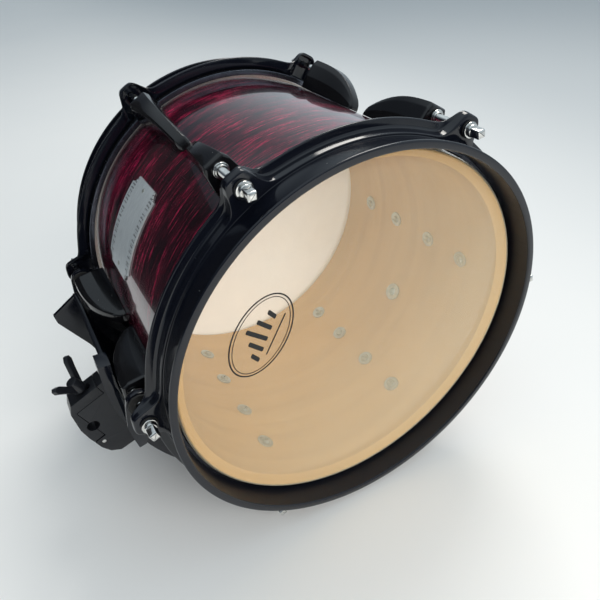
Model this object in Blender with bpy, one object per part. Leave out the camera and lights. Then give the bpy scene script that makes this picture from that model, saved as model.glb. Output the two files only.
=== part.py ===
"""A tom tom drum lying on its side, as an assembly of separate pieces.

Metres, +Z up. The shell's axis runs along Y and the front head faces -Y.
The origin is the centre of the front head's playing face. Lug lines stand at
3, 1, 11, 9, 7 and 5 o'clock as the front head is looked at, and the drum rests
on the hoop ears at 5 and 7 o'clock. The suspension bracket is on the lower left.
"""

import math

import bmesh
import bpy
from mathutils import Matrix, Vector

# Shell.
SHELL_RADIUS = 0.1509
SHELL_WALL = 0.0075
SHELL_DEPTH = 0.2390
EDGE_FLAT_RADIAL = 0.0015
GAP = 0.0003
WELD = 0.00002
SEGMENTS = 48

# Heads and flesh hoops.
FILM = 0.0005
FLESH_WALL = 0.0046
FLESH_HEIGHT = 0.0098
FLESH_DROP = 0.0073

# Rims: pressed steel, with a flange, a pocket over the flesh hoop, a wall and a lip.
SHEET = 0.0023
FLANGE_REACH = 0.0078
POCKET_HEIGHT = 0.0078
WALL_INSET = 0.0018
RIM_ABOVE_HEAD = 0.0176
LIP_REACH = 0.0038
EAR_RISE = 0.0015
EAR_WIDTH = 0.0230
EAR_BEYOND_ROD = 0.0102
EAR_HOLLOW_START = 0.0030

# Lug lines, lugs and rods.
LUG_LINES = 6
ROD_RADIUS = 0.0029
ROD_STAND_OFF = 0.0199
ROD_CLEARANCE = 0.0004
ROD_IN_LUG = 0.0173
ROD_HEAD_SIDE = 0.0063
ROD_HEAD_LENGTH = 0.0084
ROD_COLLAR_STEP = 0.0017
ROD_COLLAR_HEIGHT = 0.0020
WASHER_STACK = 0.0036
LUG_START = 0.0090
LUG_FROM_EDGE = 0.0362
LUG_END_WIDTH = 0.0236
LUG_TIP_WIDTH = 0.0104
LUG_ABOVE_ROD = 0.0077
LUG_TIP_HEIGHT = 0.0060
NUT_WALL = 0.0017
LUG_BORE_DEPTH = 0.0205
NUT_FLANGE_STEP = 0.0015
NUT_FLANGE = 0.0030
# Along the lug, how far its width and its height have grown: (length, width, height).
LUG_SECTIONS = (
    (0.00, 0.00, 0.00),
    (0.10, 0.10, 0.26),
    (0.32, 0.30, 0.56),
    (0.60, 0.60, 0.82),
    (0.88, 0.95, 0.99),
    (0.97, 1.00, 1.00),
    (1.00, 0.95, 0.96),
)

# Vent grommet and badge.
VENT_ANGLE = -30.0
VENT_RADIUS = 0.0062
GROMMET_WALL = 0.0019
GROMMET_LIP = 0.0028
GROMMET_SHEET = 0.0012
BADGE_ANGLE = 150.0
BADGE_ARC = 0.0760
BADGE_WIDTH = 0.0520
BADGE_OFFSET = 0.0195
BADGE_THICKNESS = 0.0010
BADGE_NOTCH = 0.0070

# Suspension bracket, clamped on by the rods of the 9 and 7 o'clock lug lines.
BRACKET_ANGLE = 204.0
BRACKET_STAND_OFF = 0.0286
BRACKET_SHEET = 0.0040
SPINE_SPREAD = 20.0
SPINE_LAP = 0.0050
BAND_SPREAD = 27.0
BAND_SETBACK = 0.0360
BAND_WIDTH = 0.0170
BAND_HEIGHT = 0.0090
ARCH_CLEARANCE = 0.0027
ARCH_STAND_OFF = 0.0091
ARCH_MIDDLE_RISE = 0.0168
ARCH_MIDDLE_ANGLE = 2.0
WING_RISE = 0.0277
WING_ANGLE = 13.4
WING_WIDTH_ANGLE = 2.4
WING_ROOT_RISE = 0.0025
WING_ROOT_ANGLE = 19.6
EYE_RIM = 0.0034
BUSH_WALL = 0.0028
ARM_NEAR = 5.5
ARM_FAR = 13.0
ARM_INSET = 0.0004
BUSH_LIP = 0.0020

# Rod clamp on the bracket: u is out from the shell's axis, v is up along the shell.
CLAMP_START = -0.0120
CLAMP_LENGTH = 0.0180
CLAMP_REACH = 0.0475
CLAMP_TOP = 0.0395
CLAMP_BOTTOM = 0.0370
TUBE_RADIUS = 0.0054
TUBE_FROM_TIP = 0.0110
TUBE_V = 0.0080
SPLIT_V = 0.0295
JAW_BACK = 0.0385
JAW_SPLIT = 0.0005
HINGE_FROM_TIP = 0.0057
HINGE_V = -0.0140
HINGE_PIN_RADIUS = 0.0020
KNUCKLE_RADIUS = 0.0045
KNUCKLE_LENGTH = 0.0100
JAW_FLOOR = 0.0065
WING_BOLT_FROM_TIP = 0.0260
WING_BOLT_RADIUS = 0.0035
WING_BOLT_RAISE = 0.0028
WING_BOLT_DEPTH = 0.0150
BOLT_SLOT = 0.0045
HUB_RADIUS = 0.0062
HUB_HEIGHT = 0.0110
WING_REACH = 0.0180
WING_HEIGHT = 0.0250
WING_SHEET = 0.0042
WING_TURN = 57.0

HALF = SHELL_DEPTH / 2
HEAD_FACE = HALF + GAP + FILM
ROD_CIRCLE = SHELL_RADIUS + ROD_STAND_OFF
FILM_SKIRT = SHELL_RADIUS + GAP + FILM
FLESH_INNER = FILM_SKIRT + GAP
FLESH_OUTER = FLESH_INNER + FLESH_WALL
FLESH_TOP = HEAD_FACE - FLESH_DROP - GAP
POCKET_INNER = FLESH_OUTER + GAP
SHOULDER = FLESH_TOP + GAP
FLANGE_TOP = SHOULDER + SHEET - POCKET_HEIGHT
RIM_WALL_INNER = POCKET_INNER - WALL_INSET
RIM_TOP = HEAD_FACE + RIM_ABOVE_HEAD
EAR_TOP = SHOULDER + SHEET + EAR_RISE
ROD_SEAT = EAR_TOP + WASHER_STACK
ROD_TOP = ROD_SEAT + ROD_COLLAR_HEIGHT + ROD_HEAD_LENGTH
ROD_BORE = ROD_RADIUS + ROD_CLEARANCE
ROD_COLLAR_RADIUS = ROD_RADIUS + ROD_COLLAR_STEP
LUG_END = HALF - LUG_FROM_EDGE
LUG_LENGTH = LUG_END - LUG_START
LUG_BORE = ROD_BORE + NUT_WALL + GAP
NUT_FLANGE_RADIUS = LUG_BORE + NUT_FLANGE_STEP
ROD_END = LUG_END - ROD_IN_LUG
BRACKET_RADIUS = SHELL_RADIUS + BRACKET_STAND_OFF
ARCH_PLACE = LUG_END + NUT_FLANGE + BUSH_LIP + ARCH_CLEARANCE
ARCH_INNER = SHELL_RADIUS + ARCH_STAND_OFF
ARCH_MIDDLE_RADIUS = BRACKET_RADIUS + ARCH_MIDDLE_RISE
WING_RADIUS = BRACKET_RADIUS + WING_RISE
WING_ROOT_RADIUS = BRACKET_RADIUS + WING_ROOT_RISE
BAND_FRONT = BAND_SETBACK - ARCH_PLACE
SPINE_FRONT = BAND_FRONT + SPINE_LAP
EYE_HOLE = ROD_BORE + BUSH_WALL + GAP
EYE_RADIUS = EYE_HOLE + EYE_RIM
CLAMP_BASE = BRACKET_RADIUS + BRACKET_SHEET + GAP
CLAMP_TIP = CLAMP_BASE + CLAMP_REACH
CLAMP_MIDDLE = CLAMP_START + CLAMP_LENGTH / 2
TUBE_U = CLAMP_TIP - TUBE_FROM_TIP
HINGE_U = CLAMP_TIP - HINGE_FROM_TIP
WING_BOLT_U = CLAMP_TIP - WING_BOLT_FROM_TIP

COLOURS = {
    "wrap_black_red": ((0.07, 0.008, 0.014, 1), 0.12, 0.0),
    "clear_film": ((0.86, 0.84, 0.80, 0.35), 0.10, 0.0),
    "aluminium": ((0.75, 0.76, 0.77, 1), 0.35, 1.0),
    "gloss_black_steel": ((0.012, 0.013, 0.016, 1), 0.15, 0.0),
    "gloss_black_casting": ((0.020, 0.020, 0.023, 1), 0.22, 0.0),
    "chrome": ((0.80, 0.80, 0.79, 1), 0.16, 1.0),
    "badge_metal": ((0.72, 0.73, 0.74, 1), 0.30, 1.0),
    "black_rubber": ((0.020, 0.019, 0.018, 1), 0.70, 0.0),
}


def clear_scene():
    """Removes whatever the scene opened with."""
    for obj in list(bpy.data.objects):
        bpy.data.objects.remove(obj, do_unlink=True)


def make_materials():
    """One Principled material for each finish."""
    made = {}
    for name, (colour, roughness, metallic) in COLOURS.items():
        material = bpy.data.materials.new(name)
        material.use_nodes = True
        shader = material.node_tree.nodes["Principled BSDF"]
        shader.inputs["Base Color"].default_value = colour
        shader.inputs["Roughness"].default_value = roughness
        shader.inputs["Metallic"].default_value = metallic
        shader.inputs["Alpha"].default_value = colour[3]
        made[name] = material
    return made


def add_object(name, mesh, material=None, parent=None):
    """Links a mesh to the scene as an object under the drum's empty."""
    obj = bpy.data.objects.new(name, mesh)
    bpy.context.scene.collection.objects.link(obj)
    if material:
        mesh.materials.append(material)
    obj.parent = parent
    return obj


def finish_mesh(name, shape):
    """Turns a bmesh into a smooth-shaded mesh with its faces pointing out."""
    bmesh.ops.remove_doubles(shape, verts=shape.verts, dist=1e-6)
    bmesh.ops.recalc_face_normals(shape, faces=shape.faces)
    mesh = bpy.data.meshes.new(name)
    shape.to_mesh(mesh)
    shape.free()
    mesh.shade_smooth()
    mesh.set_sharp_from_angle(angle=math.radians(35))
    return mesh


def turned(name, profile, segments=SEGMENTS, closed=True):
    """Spins a profile of (radius, along) points round the Y axis."""
    shape = bmesh.new()
    verts = [shape.verts.new((radius, along, 0)) for radius, along in profile]
    ends = verts[1:] + verts[:1] if closed else verts[1:]
    edges = [shape.edges.new(pair) for pair in zip(verts, ends)]
    bmesh.ops.spin(
        shape,
        geom=verts + edges,
        cent=(0, 0, 0),
        axis=(0, 1, 0),
        angle=math.tau,
        steps=segments,
        use_merge=True,
    )
    return finish_mesh(name, shape)


def prism(name, outline, low, high, place=Matrix()):
    """Extrudes an outline of (x, z) points along Y from low to high, then places it."""
    shape = bmesh.new()
    face = shape.faces.new([shape.verts.new((x, low, z)) for x, z in outline])
    grown = bmesh.ops.extrude_face_region(shape, geom=[face])
    moved = [item for item in grown["geom"] if isinstance(item, bmesh.types.BMVert)]
    bmesh.ops.translate(shape, vec=(0, high - low, 0), verts=moved)
    bmesh.ops.transform(shape, matrix=place, verts=shape.verts)
    return finish_mesh(name, shape)


def joined(name, meshes):
    """Puts several meshes that don't touch into one."""
    shape = bmesh.new()
    for mesh in meshes:
        shape.from_mesh(mesh)
        bpy.data.meshes.remove(mesh)
    return finish_mesh(name, shape)


def rod_mesh(name, radius, low, high, segments=16):
    """A plain round bar along Y on the Y axis."""
    return turned(name, [(0, high), (radius, high), (radius, low), (0, low)], segments, closed=False)


def turn(degrees):
    """A turn in the plane of the head: 0 is 3 o'clock and 90 is 12 o'clock."""
    return Matrix.Rotation(-math.radians(degrees), 4, "Y")


def at(radius, degrees, along=0.0):
    """A point at a radius and a turn round the shell's axis."""
    angle = math.radians(degrees)
    return Vector((radius * math.cos(angle), along, radius * math.sin(angle)))


def flip():
    """Half a turn about Z, which brings the back half's pieces to the front."""
    return Matrix.Rotation(math.pi, 4, "Z")


def moved_copy(mesh, matrix, name):
    """A copy of a mesh with a matrix applied."""
    copy = mesh.copy()
    copy.name = name
    copy.transform(matrix)
    return copy


def arc(radius, start, end, steps, centre=(0.0, 0.0)):
    """Points along an arc in the (x, z) plane, in degrees."""
    points = []
    for step in range(steps + 1):
        angle = math.radians(start + (end - start) * step / steps)
        points.append((centre[0] + radius * math.cos(angle), centre[1] + radius * math.sin(angle)))
    return points


def combine(obj, helper, operation):
    """Adds an exact Boolean against a hidden helper."""
    helper.hide_render = True
    helper.display_type = "WIRE"
    modifier = obj.modifiers.new(helper.name, "BOOLEAN")
    modifier.operation = operation
    modifier.solver = "EXACT"
    modifier.object = helper


def weld(obj):
    """Closes hair-thin slits that a Boolean can leave where faces nearly meet."""
    modifier = obj.modifiers.new("weld", "WELD")
    modifier.merge_threshold = WELD


def lug_angles():
    """The turn of each lug line, with its hour on a clock face."""
    hours = (3, 1, 11, 9, 7, 5)
    return [(hours[line], 360.0 * line / LUG_LINES) for line in range(LUG_LINES)]


# ---------------------------------------------------------------- shell and heads


def make_shell(finish, drum):
    """A ply cylinder with two bearing edges and a vent hole."""
    inner = SHELL_RADIUS - SHELL_WALL
    peak = SHELL_RADIUS - EDGE_FLAT_RADIAL
    slope = peak - inner
    profile = []
    for end in (1, -1):
        side = [
            (SHELL_RADIUS, end * (HALF - EDGE_FLAT_RADIAL)),
            (peak, end * HALF),
            (inner, end * (HALF - slope)),
        ]
        profile += side if end == 1 else side[::-1]
    shell = add_object("shell", turned("shell", profile), finish["wrap_black_red"], drum)
    hole = rod_mesh("vent_cut", VENT_RADIUS, 0.0, SHELL_WALL * 4)
    hole.transform(Matrix.Rotation(-math.pi / 2, 4, "Z"))
    hole.transform(Matrix.Translation((inner - SHELL_WALL, 0, 0)))
    hole.transform(turn(VENT_ANGLE))
    combine(shell, add_object("vent_cut", hole, None, drum), "DIFFERENCE")


def make_vent_grommet(finish, drum):
    """A flanged ring through the shell wall."""
    inner = SHELL_RADIUS - SHELL_WALL
    neck = VENT_RADIUS - GAP
    bore = neck - GROMMET_WALL
    lip = VENT_RADIUS + GROMMET_LIP
    # The flanges stand off far enough to clear the curve of the wall.
    outside = SHELL_RADIUS + GAP
    inside = inner - GAP - lip**2 / (2 * inner)
    profile = [
        (bore, inside - GROMMET_SHEET),
        (bore, outside + GROMMET_SHEET),
        (lip, outside + GROMMET_SHEET),
        (lip, outside),
        (neck, outside),
        (neck, inside),
        (lip, inside),
        (lip, inside - GROMMET_SHEET),
    ]
    mesh = turned("vent_grommet", profile, 20)
    mesh.transform(Matrix.Rotation(-math.pi / 2, 4, "Z"))
    mesh.transform(turn(VENT_ANGLE))
    add_object("vent_grommet", mesh, finish["chrome"], drum)


def make_head(finish, drum, name, facing):
    """A clear film stretched over the bearing edge, with its skirt in the flesh hoop."""
    ease = math.sqrt(2) - 1
    corner = SHELL_RADIUS - EDGE_FLAT_RADIAL
    shoulder = HALF - EDGE_FLAT_RADIAL
    foot = FLESH_TOP - FLESH_HEIGHT / 2
    inner = FILM_SKIRT - FILM
    profile = [
        (0, HEAD_FACE),
        (corner + ease * (GAP + FILM), HEAD_FACE),
        (FILM_SKIRT, shoulder + ease * (GAP + FILM)),
        (FILM_SKIRT, foot),
        (inner, foot),
        (inner, shoulder + ease * GAP),
        (corner + ease * GAP, HEAD_FACE - FILM),
        (0, HEAD_FACE - FILM),
    ]
    film = turned(name + "_film", profile, closed=False)
    hoop = turned(
        name + "_flesh_hoop",
        [
            (FLESH_OUTER, FLESH_TOP),
            (FLESH_OUTER, FLESH_TOP - FLESH_HEIGHT),
            (FLESH_INNER, FLESH_TOP - FLESH_HEIGHT),
            (FLESH_INNER, FLESH_TOP),
        ],
    )
    if facing < 0:
        film.transform(flip())
        hoop.transform(flip())
    add_object(name + "_head", film, finish["clear_film"], drum)
    add_object(name + "_flesh_hoop", hoop, finish["aluminium"], drum)


def rim_profile():
    """The section of a rim as (radius, along) points, with its rolled lip at the top."""
    flange_low = FLANGE_TOP - SHEET
    pocket_outer = POCKET_INNER + SHEET
    wall_outer = RIM_WALL_INNER + SHEET
    shoulder_top = SHOULDER + SHEET
    roll = SHEET / 2
    return [
        (RIM_WALL_INNER, RIM_TOP - roll),
        (RIM_WALL_INNER + roll, RIM_TOP),
        (wall_outer + LIP_REACH - roll, RIM_TOP),
        (wall_outer + LIP_REACH, RIM_TOP - roll),
        (wall_outer + LIP_REACH - roll, RIM_TOP - SHEET),
        (wall_outer, RIM_TOP - SHEET),
        (wall_outer, shoulder_top + roll),
        (pocket_outer, shoulder_top),
        (pocket_outer + roll, FLANGE_TOP + roll),
        (POCKET_INNER + FLANGE_REACH + SHEET, FLANGE_TOP),
        (POCKET_INNER + FLANGE_REACH + SHEET, flange_low),
        (POCKET_INNER, flange_low),
        (POCKET_INNER, SHOULDER),
        (RIM_WALL_INNER, SHOULDER),
    ]


def ear_outline(start, inset):
    """A tab round a rod: straight sides out of the pocket wall and a round end."""
    half = EAR_WIDTH / 2 - inset
    reach = EAR_BEYOND_ROD - inset
    return [(start, -half)] + arc(reach, -75, 75, 6, (ROD_CIRCLE, 0.0)) + [(start, half)]


def make_rim(finish, drum, name, facing):
    """A flanged steel rim with six pressed ears bored for the rods."""
    ears = []
    pockets = []
    bores = []
    tab = ear_outline(POCKET_INNER + SHEET / 2, 0.0)
    hollow = ear_outline(POCKET_INNER + EAR_HOLLOW_START, SHEET)
    for _, angle in lug_angles():
        ears.append(prism("ear", tab, FLANGE_TOP - SHEET / 2, EAR_TOP, turn(angle)))
        pockets.append(prism("pocket", hollow, FLANGE_TOP - SHEET * 2, EAR_TOP - SHEET, turn(angle)))
        bore = rod_mesh("bore", ROD_BORE, SHOULDER - SHEET, EAR_TOP + SHEET, 12)
        bore.transform(Matrix.Translation(at(ROD_CIRCLE, angle)))
        bores.append(bore)
    rim = turned(name, rim_profile())
    changes = [("ears", ears, "UNION"), ("pockets", pockets, "DIFFERENCE"), ("bores", bores, "DIFFERENCE")]
    if facing < 0:
        rim.transform(flip())
    obj = add_object(name, rim, finish["gloss_black_steel"], drum)
    for label, meshes, operation in changes:
        mesh = joined(f"{name}_{label}", meshes)
        if facing < 0:
            mesh.transform(flip())
        combine(obj, add_object(mesh.name, mesh, None, drum), operation)


# ---------------------------------------------------------------- lugs and rods


def lug_section(half_width, top):
    """One rounded section across a lug as (across, radius) points."""
    foot = SHELL_RADIUS + GAP
    height = top - foot
    return [
        (-half_width, foot),
        (-half_width, foot + 0.45 * height),
        (-0.86 * half_width, foot + 0.80 * height),
        (-0.45 * half_width, top),
        (0.45 * half_width, top),
        (0.86 * half_width, foot + 0.80 * height),
        (half_width, foot + 0.45 * height),
        (half_width, foot),
    ]


def lug_mesh():
    """A keystone lug: low and narrow at the shell's middle, tall and wide at the rod's end."""
    tip_top = SHELL_RADIUS + LUG_TIP_HEIGHT
    end_top = ROD_CIRCLE + LUG_ABOVE_ROD
    shape = bmesh.new()
    rings = []
    for share, spread, rise in LUG_SECTIONS:
        half = (LUG_TIP_WIDTH + (LUG_END_WIDTH - LUG_TIP_WIDTH) * spread) / 2
        top = tip_top + (end_top - tip_top) * rise
        along = LUG_START + LUG_LENGTH * share
        section = lug_section(half, top)
        rings.append([shape.verts.new((radius, along, across)) for across, radius in section])
    for first, second in zip(rings, rings[1:]):
        for here in range(len(first)):
            after = (here + 1) % len(first)
            shape.faces.new((first[here], first[after], second[after], second[here]))
    shape.faces.new(rings[0])
    shape.faces.new(rings[-1])
    return finish_mesh("lug", shape)


def nut_mesh():
    """A flanged swivel nut: its barrel sits in the lug and the rod runs through it."""
    barrel = LUG_BORE - GAP
    flange = LUG_END + GAP
    profile = [
        (ROD_BORE, flange + NUT_FLANGE),
        (NUT_FLANGE_RADIUS, flange + NUT_FLANGE),
        (NUT_FLANGE_RADIUS, flange),
        (barrel, flange),
        (barrel, LUG_END - LUG_BORE_DEPTH + GAP * 2),
        (ROD_BORE, LUG_END - LUG_BORE_DEPTH + GAP * 2),
    ]
    return turned("swivel_nut", profile, 14)


def tension_rod_profile():
    """The turned part of a rod, up to the top of its collar."""
    collar_top = ROD_SEAT + ROD_COLLAR_HEIGHT
    return [
        (0, collar_top),
        (ROD_COLLAR_RADIUS, collar_top),
        (ROD_COLLAR_RADIUS, ROD_SEAT),
        (ROD_RADIUS, ROD_SEAT),
        (ROD_RADIUS, ROD_END),
        (0, ROD_END),
    ]


def make_lug_lines(finish, drum):
    """Lugs, swivel nuts and rods on both halves of every lug line."""
    half = ROD_HEAD_SIDE / 2
    sunk = ROD_SEAT + ROD_COLLAR_HEIGHT / 2
    square = [(-half, -half), (half, -half), (half, half), (-half, half)]
    meshes = {
        "lug": lug_mesh(),
        "bore": rod_mesh("bore", LUG_BORE, LUG_END - LUG_BORE_DEPTH, LUG_END + SHEET, 14),
        "nut": nut_mesh(),
        "rod": turned("rod", tension_rod_profile(), 12, closed=False),
        "square": prism("square", square, sunk, ROD_TOP),
    }
    for end, facing in (("front", flip()), ("back", Matrix())):
        for hour, angle in lug_angles():
            # The flip mirrors left and right, so the front half counts its turns the other way.
            turned_by = turn(180.0 - angle) if end == "front" else turn(angle)
            out = Matrix.Translation((ROD_CIRCLE, 0, 0))
            mark = f"{end}_{hour}"
            place = facing @ turned_by
            lug = moved_copy(meshes["lug"], place, "lug_" + mark)
            bore = moved_copy(meshes["bore"], place @ out, "lug_bore_" + mark)
            nut = moved_copy(meshes["nut"], place @ out, "swivel_nut_" + mark)
            lug_object = add_object("lug_" + mark, lug, finish["gloss_black_casting"], drum)
            combine(lug_object, add_object("lug_bore_" + mark, bore, None, drum), "DIFFERENCE")
            add_object("swivel_nut_" + mark, nut, finish["chrome"], drum)
            rod = moved_copy(meshes["rod"], facing, "tension_rod_" + mark)
            head = moved_copy(meshes["square"], facing, "rod_head_" + mark)
            rod_object = add_object("tension_rod_" + mark, rod, finish["chrome"], drum)
            rod_object.location = at(ROD_CIRCLE, angle)
            head_object = add_object("rod_head_" + mark, head, None, drum)
            head_object.location = rod_object.location
            combine(rod_object, head_object, "UNION")
    for mesh in meshes.values():
        bpy.data.meshes.remove(mesh)


def make_badge(finish, drum):
    """A thin curved name plate with a scalloped notch in each end, left blank."""
    spread = math.degrees(BADGE_ARC / 2 / SHELL_RADIUS)
    inner = SHELL_RADIUS + GAP
    outer = inner + BADGE_THICKNESS
    outline = arc(inner, -spread, spread, 12) + arc(outer, spread, -spread, 12)
    low = BADGE_OFFSET - BADGE_WIDTH / 2
    plate = prism("badge", outline, low, low + BADGE_WIDTH, turn(BADGE_ANGLE))
    badge = add_object("badge", plate, finish["badge_metal"], drum)
    notches = []
    for end in (-spread, spread):
        notch = rod_mesh("notch", BADGE_NOTCH, -BADGE_NOTCH, BADGE_NOTCH, 20)
        notch.transform(Matrix.Rotation(-math.pi / 2, 4, "Z"))
        notch.transform(Matrix.Translation((outer, BADGE_OFFSET, 0)))
        notch.transform(turn(BADGE_ANGLE + end))
        notches.append(notch)
    combine(badge, add_object("badge_notches", joined("badge_notches", notches), None, drum), "DIFFERENCE")


# ---------------------------------------------------------------- suspension bracket


def sector(inner, outer, start, end, steps):
    """The outline of a curved plate between two radii and two turns."""
    return arc(inner, start, end, steps) + arc(outer, end, start, steps)


def polar(radius, degrees):
    """A point in the (x, z) plane."""
    return (radius * math.cos(math.radians(degrees)), radius * math.sin(math.radians(degrees)))


def rod_turns():
    """The two rods that carry the bracket, as turns from the bracket's own middle."""
    first = 180.0 - BRACKET_ANGLE
    return first, first + 360.0 / LUG_LINES


def arch_outline():
    """The back arch: an eye round each rod and a raised wing beside each."""
    first, last = rod_turns()
    wing_end = WING_ANGLE + WING_WIDTH_ANGLE
    points = arc(ARCH_INNER, last, first, 10)
    points += arc(EYE_RADIUS, first - 150, first - 10, 5, polar(ROD_CIRCLE, first))
    points.append(polar(WING_ROOT_RADIUS, -WING_ROOT_ANGLE))
    points += arc(WING_RADIUS, -wing_end, -WING_ANGLE, 2)
    points += arc(ARCH_MIDDLE_RADIUS, -ARCH_MIDDLE_ANGLE, ARCH_MIDDLE_ANGLE, 2)
    points += arc(WING_RADIUS, WING_ANGLE, wing_end, 2)
    points.append(polar(WING_ROOT_RADIUS, WING_ROOT_ANGLE))
    points += arc(EYE_RADIUS, last + 10, last + 150, 5, polar(ROD_CIRCLE, last))
    return points


def foot_outline(angle, side):
    """The front foot of an arm: a plate from the arm in to the eye round its rod."""
    outer = BRACKET_RADIUS + BRACKET_SHEET
    near = angle + side * ARM_NEAR
    far = angle + side * ARM_FAR
    points = [polar(BRACKET_RADIUS - ARM_INSET * 3, far)]
    points += arc(outer + ARM_INSET, far, near, 3)
    points += arc(EYE_RADIUS, angle - side * 6, angle - side * 198, 7, polar(ROD_CIRCLE, angle))
    return points


def make_bracket(finish, drum):
    """The bent plate that carries the clamp: spine, front band, back arch and two arms."""
    place = turn(BRACKET_ANGLE)
    outer = BRACKET_RADIUS + BRACKET_SHEET
    first, last = rod_turns()
    spine = prism(
        "suspension_bracket",
        sector(BRACKET_RADIUS, outer, -SPINE_SPREAD, SPINE_SPREAD, 14),
        SPINE_FRONT,
        ARCH_PLACE + BRACKET_SHEET / 2,
        place,
    )
    band = prism(
        "bracket_band",
        sector(BRACKET_RADIUS - ARM_INSET, BRACKET_RADIUS + BAND_HEIGHT, -BAND_SPREAD, BAND_SPREAD, 18),
        BAND_FRONT,
        BAND_FRONT + BAND_WIDTH,
        place,
    )
    arch = prism("bracket_arch", arch_outline(), ARCH_PLACE, ARCH_PLACE + BRACKET_SHEET, place)
    bracket = add_object("suspension_bracket", spine, finish["gloss_black_steel"], drum)
    pieces = [band, arch]
    for angle, side in ((first, 1), (last, -1)):
        ends = sorted((angle + side * ARM_NEAR, angle + side * ARM_FAR))
        arm = sector(BRACKET_RADIUS + ARM_INSET, outer - ARM_INSET, ends[0], ends[1], 3)
        arm_end = BAND_FRONT + BAND_WIDTH / 2
        pieces.append(prism("bracket_arm", arm, -ARCH_PLACE - BRACKET_SHEET / 2, arm_end, place))
        foot = foot_outline(angle, side)
        pieces.append(prism("bracket_foot", foot, -ARCH_PLACE - BRACKET_SHEET, -ARCH_PLACE, place))
    for number, mesh in enumerate(pieces):
        combine(bracket, add_object(f"bracket_piece_{number}", mesh, None, drum), "UNION")
    holes = []
    for along in (ARCH_PLACE, -ARCH_PLACE - BRACKET_SHEET):
        for angle in (first, last):
            hole = rod_mesh("eye", EYE_HOLE, along - SHEET, along + BRACKET_SHEET + SHEET, 16)
            hole.transform(Matrix.Translation(at(ROD_CIRCLE, angle + BRACKET_ANGLE)))
            holes.append(hole)
    combine(bracket, add_object("bracket_eyes", joined("bracket_eyes", holes), None, drum), "DIFFERENCE")
    weld(bracket)


def make_bushes(finish, drum):
    """Rubber bushes between the rods and the bracket's eyes."""
    neck = EYE_HOLE - GAP
    lip = EYE_RADIUS - BUSH_LIP / 2
    low = ARCH_PLACE - GAP
    high = ARCH_PLACE + BRACKET_SHEET + GAP
    profile = [
        (ROD_BORE, high + BUSH_LIP),
        (lip, high + BUSH_LIP),
        (lip, high),
        (neck, high),
        (neck, low),
        (lip, low),
        (lip, low - BUSH_LIP),
        (ROD_BORE, low - BUSH_LIP),
    ]
    for end, facing in (("front", flip()), ("back", Matrix())):
        for hour, angle in ((9, 180.0), (7, 240.0)):
            mesh = turned("bush", profile, 12)
            mesh.transform(facing)
            mesh.transform(Matrix.Translation(at(ROD_CIRCLE, angle)))
            add_object(f"rubber_bush_{end}_{hour}", mesh, finish["black_rubber"], drum)


# ---------------------------------------------------------------- rod clamp


def clamp_outline():
    """The clamp seen from the front, as (u, v) points, with its foot left oversize."""
    tip = CLAMP_TIP
    root = BRACKET_RADIUS - CLAMP_REACH / 4
    return [
        (root, -CLAMP_BOTTOM),
        (tip - 0.0260, -CLAMP_BOTTOM + 0.0005),
        (tip - 0.0090, -CLAMP_BOTTOM + 0.0020),
        (tip - 0.0025, -CLAMP_BOTTOM + 0.0090),
        (tip, -CLAMP_BOTTOM + 0.0190),
        (tip, -CLAMP_BOTTOM + 0.0370),
        (tip - 0.0010, CLAMP_TOP - 0.0275),
        (tip - 0.0048, CLAMP_TOP - 0.0145),
        (tip - 0.0068, CLAMP_TOP - 0.0075),
        (tip - 0.0125, CLAMP_TOP),
        (root, CLAMP_TOP),
    ]


def clamp_frame():
    """Takes (u, w, v) to the drum: u is out, v is up along the shell, w is towards the front."""
    return turn(BRACKET_ANGLE) @ Matrix.Rotation(math.pi, 4, "X")


def clamp_bar(name, radius, low, high, u, v, segments):
    """A bar along the drum's axis at (u, v) on the clamp."""
    bar = rod_mesh(name, radius, low, high, segments)
    bar.transform(clamp_frame() @ Matrix.Translation((u, 0, v)))
    return bar


def bolt_frame():
    """Takes a mesh made on the Y axis to the wing bolt's axis, with its Y along v."""
    across = Matrix.Translation((WING_BOLT_U, -CLAMP_MIDDLE, 0))
    return clamp_frame() @ across @ Matrix.Rotation(math.pi / 2, 4, "X")


def bolt_bar(name, radius, low, high, stretch=0.0):
    """A bar on the wing bolt's axis, stretched towards the shell if asked."""
    bar = rod_mesh(name, radius, low, high, 14)
    for vert in bar.vertices:
        if vert.co.x < -1e-6:
            vert.co.x -= stretch
    bar.transform(bolt_frame())
    return bar


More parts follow.
